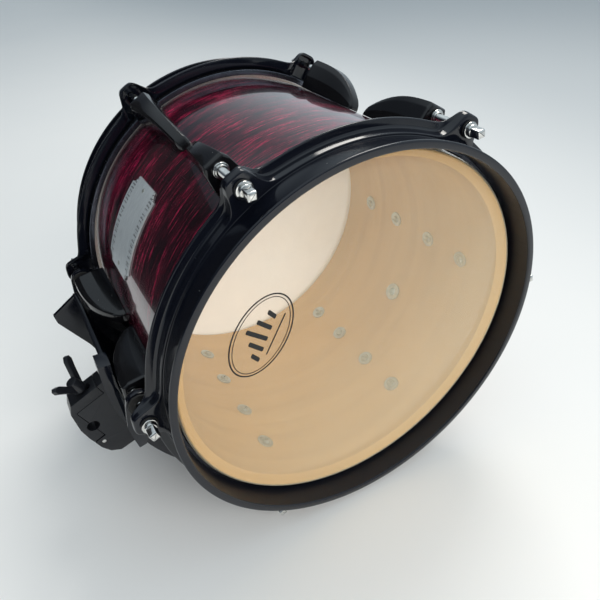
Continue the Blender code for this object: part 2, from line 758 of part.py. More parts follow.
def make_clamp(finish, drum):
    """Clamp body, hinged jaw and hinge pin round the bore for the holder's rod."""
    place = clamp_frame()
    casting = finish["gloss_black_casting"]
    front = -CLAMP_START
    back = front - CLAMP_LENGTH
    low = back - SHEET
    high = front + SHEET
    far = CLAMP_TIP + CLAMP_REACH
    knuckle_low = (back + front - KNUCKLE_LENGTH) / 2
    knuckle_high = knuckle_low + KNUCKLE_LENGTH
    jaw_back = CLAMP_TIP - JAW_BACK
    jaw_floor = HINGE_V + JAW_FLOOR
    socket = KNUCKLE_RADIUS + JAW_SPLIT

    body = add_object("clamp_body", prism("clamp_body", clamp_outline(), back, front, place), casting, drum)
    jaw = add_object("clamp_jaw", prism("clamp_jaw", clamp_outline(), back, front, place), casting, drum)

    seat_profile = [(0, SHELL_DEPTH), (CLAMP_BASE, SHELL_DEPTH), (CLAMP_BASE, -SHELL_DEPTH), (0, -SHELL_DEPTH)]
    seat = turned("clamp_seat", seat_profile, 240, closed=False)
    jaw_space = [
        (jaw_back - JAW_SPLIT, far),
        (jaw_back - JAW_SPLIT, SPLIT_V),
        (TUBE_U, SPLIT_V),
        (TUBE_U, jaw_floor - JAW_SPLIT * 3),
        (far, jaw_floor - JAW_SPLIT * 3),
        (far, far),
    ]
    pocket = arc(socket, 180, 330, 8, (HINGE_U, HINGE_V))
    pocket += [(far, HINGE_V - socket), (far, 0.0), (HINGE_U - socket, 0.0)]
    pocket_low = knuckle_low - JAW_SPLIT
    pocket_high = knuckle_high + JAW_SPLIT
    thread_low = SPLIT_V - WING_BOLT_DEPTH - SHEET
    cuts = [
        seat,
        prism("jaw_room", jaw_space, low, high, place),
        prism("knuckle_room", pocket, pocket_low, pocket_high, place),
        bolt_bar("thread_room", WING_BOLT_RADIUS + GAP, thread_low, CLAMP_TOP + SHEET),
    ]
    for mesh in cuts:
        combine(body, add_object(mesh.name, mesh, None, drum), "DIFFERENCE")

    jaw_shape = [
        (jaw_back, far),
        (jaw_back, SPLIT_V + JAW_SPLIT),
        (TUBE_U + JAW_SPLIT, SPLIT_V + JAW_SPLIT),
        (TUBE_U + JAW_SPLIT, jaw_floor),
        (far, jaw_floor),
        (far, far),
    ]
    neck_half = KNUCKLE_RADIUS - JAW_SPLIT
    neck_box = [
        (HINGE_U - neck_half, HINGE_V),
        (HINGE_U + neck_half, HINGE_V),
        (HINGE_U + neck_half, jaw_floor + JAW_SPLIT),
        (HINGE_U - neck_half, jaw_floor + JAW_SPLIT),
    ]
    jaw_steps = [
        (prism("jaw_keep", jaw_shape, low, high, place), "INTERSECT"),
        (clamp_bar("jaw_knuckle", KNUCKLE_RADIUS, knuckle_low, knuckle_high, HINGE_U, HINGE_V, 20), "UNION"),
        (prism("jaw_neck", neck_box, knuckle_low + JAW_SPLIT, knuckle_high - JAW_SPLIT, place), "UNION"),
        (bolt_bar("bolt_slot", WING_BOLT_RADIUS + GAP, SPLIT_V - SHEET, CLAMP_TOP + SHEET, BOLT_SLOT), "DIFFERENCE"),
    ]
    for mesh, operation in jaw_steps:
        combine(jaw, add_object(mesh.name, mesh, None, drum), operation)

    through = [
        clamp_bar("tube_room", TUBE_RADIUS, low, high, TUBE_U, TUBE_V, 24),
        clamp_bar("pin_room", HINGE_PIN_RADIUS + GAP, low, high, HINGE_U, HINGE_V, 14),
    ]
    for mesh in through:
        helper = add_object(mesh.name, mesh, None, drum)
        combine(body, helper, "DIFFERENCE")
        combine(jaw, helper, "DIFFERENCE")

    pin = clamp_bar("hinge_pin", HINGE_PIN_RADIUS, back, front, HINGE_U, HINGE_V, 12)
    add_object("hinge_pin", pin, finish["chrome"], drum)


def make_wing_bolt(finish, drum):
    """A threaded bolt with a tapered hub and two swept wings, turned by hand."""
    under = CLAMP_TOP + WING_BOLT_RAISE
    low = SPLIT_V - WING_BOLT_DEPTH
    profile = [
        (0, under + HUB_HEIGHT),
        (HUB_RADIUS * 0.75, under + HUB_HEIGHT),
        (HUB_RADIUS, under + HUB_HEIGHT * 0.3),
        (HUB_RADIUS, under),
        (WING_BOLT_RADIUS, under),
        (WING_BOLT_RADIUS, low),
        (0, low),
    ]
    wing = [
        (0.0, 0.15 * HUB_HEIGHT),
        (HUB_RADIUS, 0.15 * HUB_HEIGHT),
        (0.72 * WING_REACH, 0.52 * WING_HEIGHT),
        (WING_REACH, 0.80 * WING_HEIGHT),
        (WING_REACH, 0.95 * WING_HEIGHT),
        (0.86 * WING_REACH, WING_HEIGHT),
        (0.66 * WING_REACH, 0.90 * WING_HEIGHT),
        (0.80 * HUB_RADIUS, 0.98 * HUB_HEIGHT),
        (0.0, 0.80 * HUB_HEIGHT),
    ]
    outline = wing + [(-across, up) for across, up in wing[-2:0:-1]]
    # The outline is drawn across (x, z), then stood up so that its height lies along Y.
    stand = Matrix.Translation((0, under, 0)) @ Matrix.Rotation(-math.pi / 2, 4, "X")
    wings = prism("wing_bolt_wings", outline, -WING_SHEET / 2, WING_SHEET / 2, stand)
    wings.transform(Matrix.Rotation(math.radians(WING_TURN), 4, "Y"))
    wings.transform(bolt_frame())
    bolt = turned("wing_bolt", profile, 16, closed=False)
    bolt.transform(bolt_frame())
    obj = add_object("wing_bolt", bolt, finish["gloss_black_casting"], drum)
    combine(obj, add_object("wing_bolt_wings", wings, None, drum), "UNION")


def main():
    clear_scene()
    finish = make_materials()
    drum = bpy.data.objects.new("drum", None)
    bpy.context.scene.collection.objects.link(drum)
    drum.location = (0, HEAD_FACE, 0)
    make_shell(finish, drum)
    make_vent_grommet(finish, drum)
    for name, facing in (("front", -1), ("back", 1)):
        make_head(finish, drum, name, facing)
        make_rim(finish, drum, name + "_hoop", facing)
    make_lug_lines(finish, drum)
    make_badge(finish, drum)
    make_bracket(finish, drum)
    make_bushes(finish, drum)
    make_clamp(finish, drum)
    make_wing_bolt(finish, drum)


main()
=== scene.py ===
"""The looks of the tom tom drum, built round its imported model.

Metres, +Z up, in the model's own frame: the shell's axis runs along Y and the front head faces -Y.
A section is a list of (radius, along) points, where along is the distance from the shell's middle
towards the back head. Front pieces are the back ones given half a turn about Z.
"""

import math

import bmesh
import bpy
from mathutils import Matrix, Vector


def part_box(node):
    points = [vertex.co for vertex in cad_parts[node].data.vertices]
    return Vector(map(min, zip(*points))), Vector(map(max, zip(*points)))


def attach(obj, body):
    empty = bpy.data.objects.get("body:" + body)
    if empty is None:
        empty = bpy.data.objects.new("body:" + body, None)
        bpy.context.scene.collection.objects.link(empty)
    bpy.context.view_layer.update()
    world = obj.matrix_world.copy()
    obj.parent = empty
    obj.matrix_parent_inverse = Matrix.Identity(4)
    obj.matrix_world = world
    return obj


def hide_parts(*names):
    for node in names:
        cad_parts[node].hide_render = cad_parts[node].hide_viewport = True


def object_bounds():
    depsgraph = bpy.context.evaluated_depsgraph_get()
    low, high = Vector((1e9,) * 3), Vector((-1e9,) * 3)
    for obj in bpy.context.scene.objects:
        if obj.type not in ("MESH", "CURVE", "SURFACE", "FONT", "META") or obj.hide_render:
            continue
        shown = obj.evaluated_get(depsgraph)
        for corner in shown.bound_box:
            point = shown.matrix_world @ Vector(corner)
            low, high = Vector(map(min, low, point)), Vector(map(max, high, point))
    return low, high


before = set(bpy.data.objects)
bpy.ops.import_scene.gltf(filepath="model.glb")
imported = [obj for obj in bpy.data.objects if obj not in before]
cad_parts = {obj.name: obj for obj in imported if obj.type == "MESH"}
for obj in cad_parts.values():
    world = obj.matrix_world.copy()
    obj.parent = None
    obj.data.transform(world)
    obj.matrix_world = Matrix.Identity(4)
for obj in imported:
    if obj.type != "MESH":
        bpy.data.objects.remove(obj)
cad_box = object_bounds()


# ---------------------------------------------------------------- sizes read from the frame

SHELL_LOW, SHELL_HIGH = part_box("shell")
HEAD_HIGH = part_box("back_head")[1]
HOOP_LOW, HOOP_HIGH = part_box("back_hoop")
FLESH_LOW, FLESH_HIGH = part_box("back_flesh_hoop")
ROD_LOW, ROD_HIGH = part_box("tension_rod_back_3")
LUG_LOW, LUG_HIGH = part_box("lug_back_3")
NUT_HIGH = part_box("swivel_nut_back_3")[1]
BADGE_LOW, BADGE_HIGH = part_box("badge")

MIDDLE = (SHELL_LOW.y + SHELL_HIGH.y) / 2
SHELL_RADIUS = SHELL_HIGH.x
HALF = SHELL_HIGH.y - MIDDLE
HEAD_FACE = HEAD_HIGH.y - MIDDLE
RIM_TOP = HOOP_HIGH.y - MIDDLE
FLANGE_LOW = HOOP_LOW.y - MIDDLE
FLANGE_RADIUS = HOOP_HIGH.z
EAR_REACH = HOOP_HIGH.x
ROD_CIRCLE = (ROD_LOW.x + ROD_HIGH.x) / 2
ROD_TOP = ROD_HIGH.y - MIDDLE
ROD_END = ROD_LOW.y - MIDDLE
COLLAR_RADIUS = (ROD_HIGH.x - ROD_LOW.x) / 2
LUG_START = LUG_LOW.y - MIDDLE
LUG_END = LUG_HIGH.y - MIDDLE
LUG_TOP = LUG_HIGH.x
LUG_WIDTH = LUG_HIGH.z - LUG_LOW.z
NUT_TOP = NUT_HIGH.y - MIDDLE
FLESH_OUTER = FLESH_HIGH.x
FLESH_TOP = FLESH_HIGH.y - MIDDLE
FLESH_BASE = FLESH_LOW.y - MIDDLE
FLOOR = cad_box[0].z

# ---------------------------------------------------------------- sizes chosen here

GAP = 0.0003
WALL = 0.0075
WRAP = 0.0005
FILM = 0.0003
SHEET = 0.0023
RIM_INNER = 0.1551
LIP_REACH = 0.0038
EAR_RISE = 0.0015
EAR_HALF_WIDTH = 0.0113
EAR_CROWDING = 0.65
EAR_SKIRT = 0.0062
ROD_RADIUS = 0.0029
ROD_BORE = ROD_RADIUS + 0.0004
ROD_SEAT = ROD_TOP - 0.0104
EAR_TOP = ROD_SEAT - 0.0036
SHOULDER = EAR_TOP - EAR_RISE
SQUARE = 0.0063
LUG_TIP_WIDTH = 0.0104
LUG_TIP_RISE = 0.0060
SCREW_PLACES = (0.0256, 0.0716)
VENT_TURN = -30.0
VENT_HOLE = 0.0062
BADGE_TURN = 150.0
BADGE_LENGTH = 0.0760
BADGE_SCOOP = 0.0070
RIVET_FROM_END = 0.0062
BADGE_MIDDLE = (BADGE_LOW.y + BADGE_HIGH.y) / 2
BADGE_BORDER = (BADGE_HIGH.y - BADGE_LOW.y) / 2 - 0.0052
RING_STEPS = 240
RIM_STEPS = 384
LINES = {3: 0.0, 1: 60.0, 11: 120.0, 9: 180.0, 7: 240.0, 5: 300.0}

ACROSS_Y = (math.pi / 2, 0, 0)

BACK = Matrix.Translation((0, MIDDLE, 0))
FRONT = BACK @ Matrix.Rotation(math.pi, 4, "Z")


def turn(degrees):
    """A turn round the shell's axis, from 3 o'clock towards 12 o'clock."""
    return Matrix.Rotation(-math.radians(degrees), 4, "Y")


def half_frames():
    """(name, matrix, turn of a lug line) for both halves of the drum."""
    return (("back", BACK, lambda degrees: degrees), ("front", FRONT, lambda degrees: 180.0 - degrees))


# ---------------------------------------------------------------- modelling tools


def deselect():
    """Leaves nothing selected, so that the next operator acts on its own piece only."""
    bpy.ops.object.select_all(action="DESELECT")


def pick(piece):
    """Makes one piece the active and only selected one."""
    deselect()
    piece.select_set(True)
    bpy.context.view_layer.objects.active = piece


def edit(piece):
    """Opens a piece in edit mode with nothing selected in it."""
    pick(piece)
    bpy.ops.object.mode_set(mode="EDIT")
    bpy.ops.mesh.select_mode(type="VERT")
    bpy.ops.mesh.select_all(action="DESELECT")
    return bmesh.from_edit_mesh(piece.data)


def close_edit():
    bpy.ops.object.mode_set(mode="OBJECT")


def rounded(corners, steps=4):
    """The points of a section whose corners (radius, along, fillet) are rounded by arcs."""
    points = []
    for index, (across, along, fillet) in enumerate(corners):
        here = Vector((across, along))
        if fillet <= 0:
            points.append((across, along))
            continue
        before = (Vector(corners[index - 1][:2]) - here).normalized()
        after = (Vector(corners[(index + 1) % len(corners)][:2]) - here).normalized()
        half = before.angle(after) / 2
        centre = here + (before + after).normalized() * fillet / math.sin(half)
        first = here + before * fillet / math.tan(half) - centre
        last = here + after * fillet / math.tan(half) - centre
        start = math.atan2(first.y, first.x)
        sweep = (math.atan2(last.y, last.x) - start + math.pi) % math.tau - math.pi
        for step in range(steps + 1):
            angle = start + sweep * step / steps
            points.append((centre.x + fillet * math.cos(angle), centre.y + fillet * math.sin(angle)))
    return points


def lathe(name, section, steps=RING_STEPS, closed=True):
    """Extrudes one vertex along a section and spins it round the Y axis."""
    deselect()
    bpy.ops.mesh.primitive_plane_add(size=0.001)
    piece = bpy.context.object
    piece.name = name
    bpy.ops.object.mode_set(mode="EDIT")
    bpy.ops.mesh.merge(type="CENTER")
    bpy.ops.transform.translate(value=(section[0][0], section[0][1], 0))
    for here, after in zip(section, section[1:]):
        step = (after[0] - here[0], after[1] - here[1], 0)
        bpy.ops.mesh.extrude_vertices_move(TRANSFORM_OT_translate={"value": step})
    if closed:
        shape = bmesh.from_edit_mesh(piece.data)
        shape.verts.ensure_lookup_table()
        shape.verts[0].select = True
        bpy.ops.mesh.edge_face_add()
    bpy.ops.mesh.select_all(action="SELECT")
    bpy.ops.mesh.spin(steps=steps, angle=math.tau, center=(0, 0, 0), axis=(0, 1, 0))
    bpy.ops.mesh.remove_doubles(threshold=2e-6)
    bpy.ops.mesh.normals_make_consistent(inside=False)
    close_edit()
    return piece


def apply_modifier(piece, kind, **settings):
    """Adds a modifier, sets it and applies it."""
    pick(piece)
    modifier = piece.modifiers.new(kind.title(), kind)
    for name, value in settings.items():
        setattr(modifier, name, value)
    bpy.ops.object.modifier_apply(modifier=modifier.name)


def cut(piece, cutter):
    """Takes a cutter out of a piece and removes the cutter."""
    apply_modifier(piece, "BOOLEAN", operation="DIFFERENCE", solver="EXACT", object=cutter)
    bpy.data.objects.remove(cutter)


def join(pieces, name):
    """Joins pieces into the first one."""
    pick(pieces[0])
    for piece in pieces[1:]:
        piece.select_set(True)
    bpy.ops.object.join()
    pieces[0].name = name
    return pieces[0]


def smooth(piece, degrees=35):
    pick(piece)
    bpy.ops.object.shade_smooth_by_angle(angle=math.radians(degrees))


def dress(piece, *materials):
    """Gives a piece its materials in place of any that it has."""
    piece.data.materials.clear()
    for material in materials:
        piece.data.materials.append(material)
    return piece


def settle(piece, name, body, nodes=()):
    """Names a finished piece and says what it rides on and the nodes it stands for."""
    piece.name = name
    piece.data.name = name
    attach(piece, body)
    if nodes:
        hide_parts(*nodes)
    return piece


def copy_of(piece, matrix):
    """A copy with its own mesh, put in its place by a matrix."""
    made = piece.copy()
    made.data = piece.data.copy()
    bpy.context.collection.objects.link(made)
    made.data.transform(matrix)
    return made


def drop(*pieces):
    for piece in pieces:
        bpy.data.objects.remove(piece)


# ---------------------------------------------------------------- materials


def new_material(name, values):
    """A material and its Principled shader, with plain values set on the shader's sockets."""
    material = bpy.data.materials.new(name)
    material.use_nodes = True
    shader = material.node_tree.nodes["Principled BSDF"]
    for socket, value in values.items():
        shader.inputs[socket].default_value = value
    return material, material.node_tree, shader


def add_node(tree, kind, settings=None, **inputs):
    """A node with its settings, its plain inputs set and its linked inputs joined.

    An input is named by its socket, with _ for a space, or by in0, in1 and so on."""
    made = tree.nodes.new(kind)
    for name, value in (settings or {}).items():
        setattr(made, name, value)
    for name, value in inputs.items():
        key = int(name[2:]) if name[:2] == "in" and name[2:].isdigit() else name.replace("_", " ")
        socket = made.inputs[key]
        if isinstance(value, bpy.types.NodeSocket):
            tree.links.new(value, socket)
        else:
            socket.default_value = value
    return made


def math_node(tree, operation, *values):
    made = add_node(tree, "ShaderNodeMath", {"operation": operation})
    for socket, value in zip(made.inputs, values):
        if isinstance(value, bpy.types.NodeSocket):
            tree.links.new(value, socket)
        else:
            socket.default_value = value
    return made.outputs[0]


def fade(tree, value, low, high, to_low=0.0, to_high=1.0):
    """A smooth step of a value between two limits."""
    made = add_node(tree, "ShaderNodeMapRange", {"interpolation_type": "SMOOTHSTEP"})
    for socket, number in zip(made.inputs[:5], (value, low, high, to_low, to_high)):
        if isinstance(number, bpy.types.NodeSocket):
            tree.links.new(number, socket)
        else:
            socket.default_value = number
    return made.outputs[0]


def mix_colour(tree, share, first, second, blend="MIX"):
    made = add_node(tree, "ShaderNodeMix", {"data_type": "RGBA", "blend_type": blend})
    for index, value in ((0, share), (6, first), (7, second)):
        if isinstance(value, bpy.types.NodeSocket):
            tree.links.new(value, made.inputs[index])
        else:
            made.inputs[index].default_value = value
    return made.outputs[2]


def stretched_noise(tree, place, scale, detail=4.0, roughness=0.6, distortion=0.0):
    """Noise on a place whose axes are scaled each by itself."""
    mapped = add_node(tree, "ShaderNodeMapping", Vector=place, Scale=scale).outputs[0]
    return add_node(
        tree, "ShaderNodeTexNoise",
        Vector=mapped, Scale=1.0, Detail=detail, Roughness=roughness, Distortion=distortion,
    ).outputs["Fac"]


def new_group(name, inputs, outputs):
    """A shader node group with named sockets. Returns its tree, its input node and its output node."""
    tree = bpy.data.node_groups.new(name, "ShaderNodeTree")
    for label, kind, value in inputs:
        socket = tree.interface.new_socket(label, in_out="INPUT", socket_type=kind)
        if value is not None:
            socket.default_value = value
    for label, kind in outputs:
        tree.interface.new_socket(label, in_out="OUTPUT", socket_type=kind)
    return tree, tree.nodes.new("NodeGroupInput"), tree.nodes.new("NodeGroupOutput")


def make_handling_group():
    """Smudges, fine scratches and dust specks on a glossy surface."""
    tree, given, out = new_group(
        "handling_marks",
        [
            ("Vector", "NodeSocketVector", None),
            ("Roughness", "NodeSocketFloat", 0.1),
            ("Smudge", "NodeSocketFloat", 0.08),
            ("Dust", "NodeSocketFloat", 0.5),
        ],
        [("Roughness", "NodeSocketFloat"), ("Dust Mask", "NodeSocketFloat"), ("Height", "NodeSocketFloat")],
    )
    place = given.outputs["Vector"]
    smudges = fade(tree, stretched_noise(tree, place, (45, 45, 45), 3.0), 0.45, 0.75)
    scratches = stretched_noise(tree, place, (900, 60, 500), 2.0)
    lines = math_node(tree, "MULTIPLY", fade(tree, scratches, 0.66, 0.72), 0.10)
    cells = add_node(tree, "ShaderNodeTexVoronoi", Vector=place, Scale=420.0)
    small = fade(tree, cells.outputs["Distance"], 0.05, 0.16, 1.0, 0.0)
    chosen = math_node(tree, "GREATER_THAN", math_node(tree, "FRACT", cells.outputs["Color"]), 0.93)
    specks = math_node(tree, "MULTIPLY", math_node(tree, "MULTIPLY", small, chosen), given.outputs["Dust"])
    rough = math_node(tree, "MULTIPLY_ADD", smudges, given.outputs["Smudge"], given.outputs["Roughness"])
    rough = math_node(tree, "ADD", math_node(tree, "ADD", rough, lines), specks)
    tree.links.new(rough, out.inputs["Roughness"])
    tree.links.new(specks, out.inputs["Dust Mask"])
    tree.links.new(math_node(tree, "SUBTRACT", specks, lines), out.inputs["Height"])
    return tree


def make_grain_group():
    """Wood grain that runs round the shell: fine pores, soft figure and slow shading."""
    tree, given, out = new_group(
        "wood_grain",
        [("Vector", "NodeSocketVector", None), ("Light", "NodeSocketColor", (1, 1, 1, 1)),
         ("Dark", "NodeSocketColor", (0, 0, 0, 1)), ("Contrast", "NodeSocketFloat", 1.0)],
        [("Colour", "NodeSocketColor"), ("Height", "NodeSocketFloat")],
    )
    place = given.outputs["Vector"]
    figure = stretched_noise(tree, place, (5, 70, 5), 5.0, 0.55, 0.6)
    pores = fade(tree, stretched_noise(tree, place, (26, 900, 26), 2.0), 0.60, 0.74)
    cloud = stretched_noise(tree, place, (9, 9, 9), 2.0)
    tone = math_node(tree, "MULTIPLY_ADD", pores, 0.06, fade(tree, figure, 0.30, 0.75))
    tone = math_node(tree, "MULTIPLY_ADD", fade(tree, cloud, 0.35, 0.7), 0.35, tone)
    tone = math_node(tree, "MULTIPLY", tone, given.outputs["Contrast"])
    colour = mix_colour(tree, tone, given.outputs["Light"], given.outputs["Dark"])
    tree.links.new(colour, out.inputs["Colour"])
    tree.links.new(math_node(tree, "MULTIPLY", pores, -1.0), out.inputs["Height"])
    return tree


def use_marks(tree, shader, place, roughness, smudge, dust, bump=0.00002):
    """Feeds a glossy material's roughness and normal from the handling marks."""
    marks = add_node(tree, "ShaderNodeGroup", {"node_tree": HANDLING})
    tree.links.new(place, marks.inputs["Vector"])
    for name, value in (("Roughness", roughness), ("Smudge", smudge), ("Dust", dust)):
        marks.inputs[name].default_value = value
    tree.links.new(marks.outputs["Roughness"], shader.inputs["Roughness"])
    raised = add_node(tree, "ShaderNodeBump", Strength=0.5, Distance=bump, Height=marks.outputs["Height"])
    tree.links.new(raised.outputs[0], shader.inputs["Normal"])
    return marks.outputs["Dust Mask"]


def object_place(tree):
    return add_node(tree, "ShaderNodeTexCoord").outputs["Object"]


def make_gloss_black(name, colour, roughness, coat, dust):
    """Black plate or black casting with a clear gloss, a few smudges and dust."""
    material, tree, shader = new_material(
        name, {"Metallic": 0.0, "Coat Weight": coat, "Coat Roughness": 0.04, "Specular IOR Level": 0.5}
    )
    mask = use_marks(tree, shader, object_place(tree), roughness, 0.10, dust)
    tint = mix_colour(tree, mask, colour, (0.50, 0.50, 0.48, 1))
    tree.links.new(tint, shader.inputs["Base Color"])
    return material


def make_bright_metal(name, colour, roughness, smudge, metallic=1.0):
    """Plated or bare metal, brushed slightly by use."""
    material, tree, shader = new_material(name, {"Metallic": metallic})
    place = object_place(tree)
    use_marks(tree, shader, place, roughness, smudge, 0.15)
    tone = fade(tree, stretched_noise(tree, place, (160, 160, 160), 4.0), 0.35, 0.75)
    darker = tuple(0.72 * part for part in colour[:3]) + (1,)
    tree.links.new(mix_colour(tree, tone, colour, darker), shader.inputs["Base Color"])
    return material


def make_wrap():
    """Black wrap with crimson fibres lying round the shell, under a thick clear gloss."""
    material, tree, shader = new_material(
        "wrap_black_crimson", {"Coat Weight": 1.0, "Coat Roughness": 0.02, "Specular IOR Level": 0.4}
    )
    place = object_place(tree)
    streaks = stretched_noise(tree, place, (34, 520, 34), 5.0, 0.60, 0.15)
    clumps = stretched_noise(tree, place, (13, 42, 13), 3.0, 0.55, 0.8)
    fibres = stretched_noise(tree, place, (90, 1500, 90), 3.0, 0.6, 0.2)
    flecks = stretched_noise(tree, place, (190, 420, 190), 3.0, 0.6, 1.0)
    body = math_node(tree, "MULTIPLY_ADD", clumps, 0.45, math_node(tree, "MULTIPLY", streaks, 0.55))
    body = fade(tree, body, 0.405, 0.64)
    body = math_node(tree, "MULTIPLY", body, fade(tree, flecks, 0.30, 0.58, 0.50, 1.0))
    body = math_node(tree, "MULTIPLY", body, fade(tree, fibres, 0.34, 0.62, 0.40, 1.0))
    ramp = add_node(tree, "ShaderNodeValToRGB", Fac=body)
    tones = ((0.0, (0.010, 0.002, 0.005, 1)), (0.20, (0.050, 0.003, 0.012, 1)),
             (0.55, (0.19, 0.006, 0.030, 1)), (1.0, (0.62, 0.026, 0.110, 1)))
    for index, (where, colour) in enumerate(tones):
        stop = ramp.color_ramp.elements[index] if index < 2 else ramp.color_ramp.elements.new(where)
        stop.position = where
        stop.color = colour
    tree.links.new(ramp.outputs["Color"], shader.inputs["Base Color"])
    use_marks(tree, shader, place, 0.16, 0.08, 0.25)
    return material


def make_maple():
    """Bare maple inside the shell."""
    material, tree, shader = new_material("bare_maple", {"Specular IOR Level": 0.25})
    place = object_place(tree)
    grain = add_node(
        tree, "ShaderNodeGroup", {"node_tree": GRAIN},
        Vector=place, Light=(0.67, 0.37, 0.10, 1), Dark=(0.51, 0.26, 0.055, 1), Contrast=0.5,
    )
    tree.links.new(grain.outputs["Colour"], shader.inputs["Base Color"])
    shader.inputs["Roughness"].default_value = 0.5
    height = grain.outputs["Height"]
    raised = add_node(tree, "ShaderNodeBump", Strength=0.1, Distance=0.00004, Height=height)
    tree.links.new(raised.outputs[0], shader.inputs["Normal"])
    return material


def make_film(name, colour, haze, roughness, painted_glow=0.0):
    """Drum film: clear but hazy, denser where it is seen edge on.

    Its emission is painted light, standing in for the light that soaks through it."""
    material, tree, shader = new_material(
        name, {"Base Color": colour, "Specular IOR Level": 0.5, "Coat Weight": 0.3, "Coat Roughness": 0.03}
    )
    place = object_place(tree)
    # Painted glow: emission standing in for light that soaks through the film from behind.
    shader.inputs["Emission Color"].default_value = (1.0, 0.99, 0.95, 1)
    shader.inputs["Emission Strength"].default_value = painted_glow
    cloud = stretched_noise(tree, place, (14, 14, 14), 4.0)
    facing = add_node(tree, "ShaderNodeLayerWeight", Blend=0.5).outputs["Facing"]
    grazing = math_node(tree, "MULTIPLY", math_node(tree, "POWER", facing, 3.0), 0.8)
    body = fade(tree, cloud, 0.2, 0.8, haze * 0.9, haze * 1.1)
    tree.links.new(math_node(tree, "ADD", body, grazing), shader.inputs["Alpha"])
    use_marks(tree, shader, place, roughness, 0.10, 0.2, 0.00001)
    return material


def make_ink():
    """Printed black ink on the film, with thin patches."""
    material, tree, shader = new_material("emblem_ink", {"Specular IOR Level": 0.3})
    place = object_place(tree)
    patches = fade(tree, stretched_noise(tree, place, (700, 700, 700), 3.0), 0.55, 0.75)
    ink = mix_colour(tree, patches, (0.012, 0.012, 0.012, 1), (0.06, 0.055, 0.05, 1))
    tree.links.new(ink, shader.inputs["Base Color"])
    tree.links.new(fade(tree, patches, 0.0, 1.0, 0.35, 0.6), shader.inputs["Roughness"])
    return material


def make_soft_black(name, colour, roughness):
    """Rubber or nylon with a fine skin texture."""
    material, tree, shader = new_material(name, {"Specular IOR Level": 0.35})
    place = object_place(tree)
    skin = stretched_noise(tree, place, (1500, 1500, 1500), 3.0)
    mask = use_marks(tree, shader, place, roughness, 0.12, 0.4)
    bloom = math_node(tree, "MAXIMUM", mask, fade(tree, skin, 0.6, 0.9, 0.0, 0.15))
    tint = mix_colour(tree, bloom, colour, (0.35, 0.34, 0.32, 1))
    tree.links.new(tint, shader.inputs["Base Color"])
    return material


def make_badge_face():
    """Satin plate with a fine brushing along its length and a printed border of dots, blank inside."""
    material, tree, shader = new_material(
        "badge_satin", {"Metallic": 0.25, "Coat Weight": 0.2, "Coat Roughness": 0.15}
    )
    place = object_place(tree)
    brushed = stretched_noise(tree, place, (120, 2600, 120), 3.0)
    tone = fade(tree, brushed, 0.3, 0.7)
    bare = mix_colour(tree, tone, (0.66, 0.69, 0.70, 1), (0.50, 0.53, 0.54, 1))
    across = add_node(tree, "ShaderNodeSeparateXYZ", Vector=place).outputs["Y"]
    off_middle = math_node(tree, "ABSOLUTE", math_node(tree, "SUBTRACT", across, BADGE_MIDDLE))
    off_border = math_node(tree, "ABSOLUTE", math_node(tree, "SUBTRACT", off_middle, BADGE_BORDER))
    border = fade(tree, off_border, 0.0028, 0.0032, 1.0, 0.0)
    cells = add_node(tree, "ShaderNodeTexVoronoi", Vector=place, Scale=480.0, Randomness=0.15)
    dots = fade(tree, cells.outputs["Distance"], 0.34, 0.44, 1.0, 0.0)
    printed = math_node(tree, "MULTIPLY", border, dots)
    tree.links.new(mix_colour(tree, printed, bare, (0.07, 0.07, 0.075, 1)), shader.inputs["Base Color"])
    use_marks(tree, shader, place, 0.40, 0.10, 0.3)
    return material


HANDLING = make_handling_group()
GRAIN = make_grain_group()
RIM_BLACK = make_gloss_black("rim_gloss_black", (0.004, 0.005, 0.009, 1), 0.10, 0.0, 0.4)
RIM_INSIDE = make_gloss_black("rim_inside_black", (0.004, 0.005, 0.009, 1), 0.42, 0.0, 0.4)
CAST_BLACK = make_gloss_black("casting_gloss_black", (0.005, 0.005, 0.006, 1), 0.12, 0.0, 0.8)
PLATE_BLACK = make_gloss_black("bracket_gloss_black", (0.004, 0.005, 0.009, 1), 0.12, 0.0, 0.6)
CLAMP_BLACK = make_gloss_black("clamp_satin_black", (0.009, 0.010, 0.013, 1), 0.34, 0.0, 0.6)
CHROME = make_bright_metal("chrome_plate", (0.78, 0.77, 0.74, 1), 0.10, 0.18)
ZINC = make_bright_metal("zinc_plate", (0.44, 0.45, 0.41, 1), 0.34, 0.20, 0.7)
CHANNEL_METAL = make_bright_metal("dark_channel_metal", (0.13, 0.14, 0.17, 1), 0.20, 0.12, 0.9)
WRAP_FINISH = make_wrap()
MAPLE = make_maple()
FRONT_FILM = make_film("front_film", (0.98, 0.90, 0.66, 1), 0.11, 0.06)
# The back film's last value is a painted glow: emission that stands in for light soaking through it from
# behind.
BACK_FILM = make_film("back_film", (1.0, 1.0, 0.99, 1), 0.82, 0.12, 0.10)
INK = make_ink()
RUBBER = make_soft_black("black_rubber_skin", (0.020, 0.019, 0.018, 1), 0.62)
NYLON = make_soft_black("black_nylon", (0.016, 0.016, 0.016, 1), 0.38)
BADGE_FACE = make_badge_face()


# ---------------------------------------------------------------- shell and heads


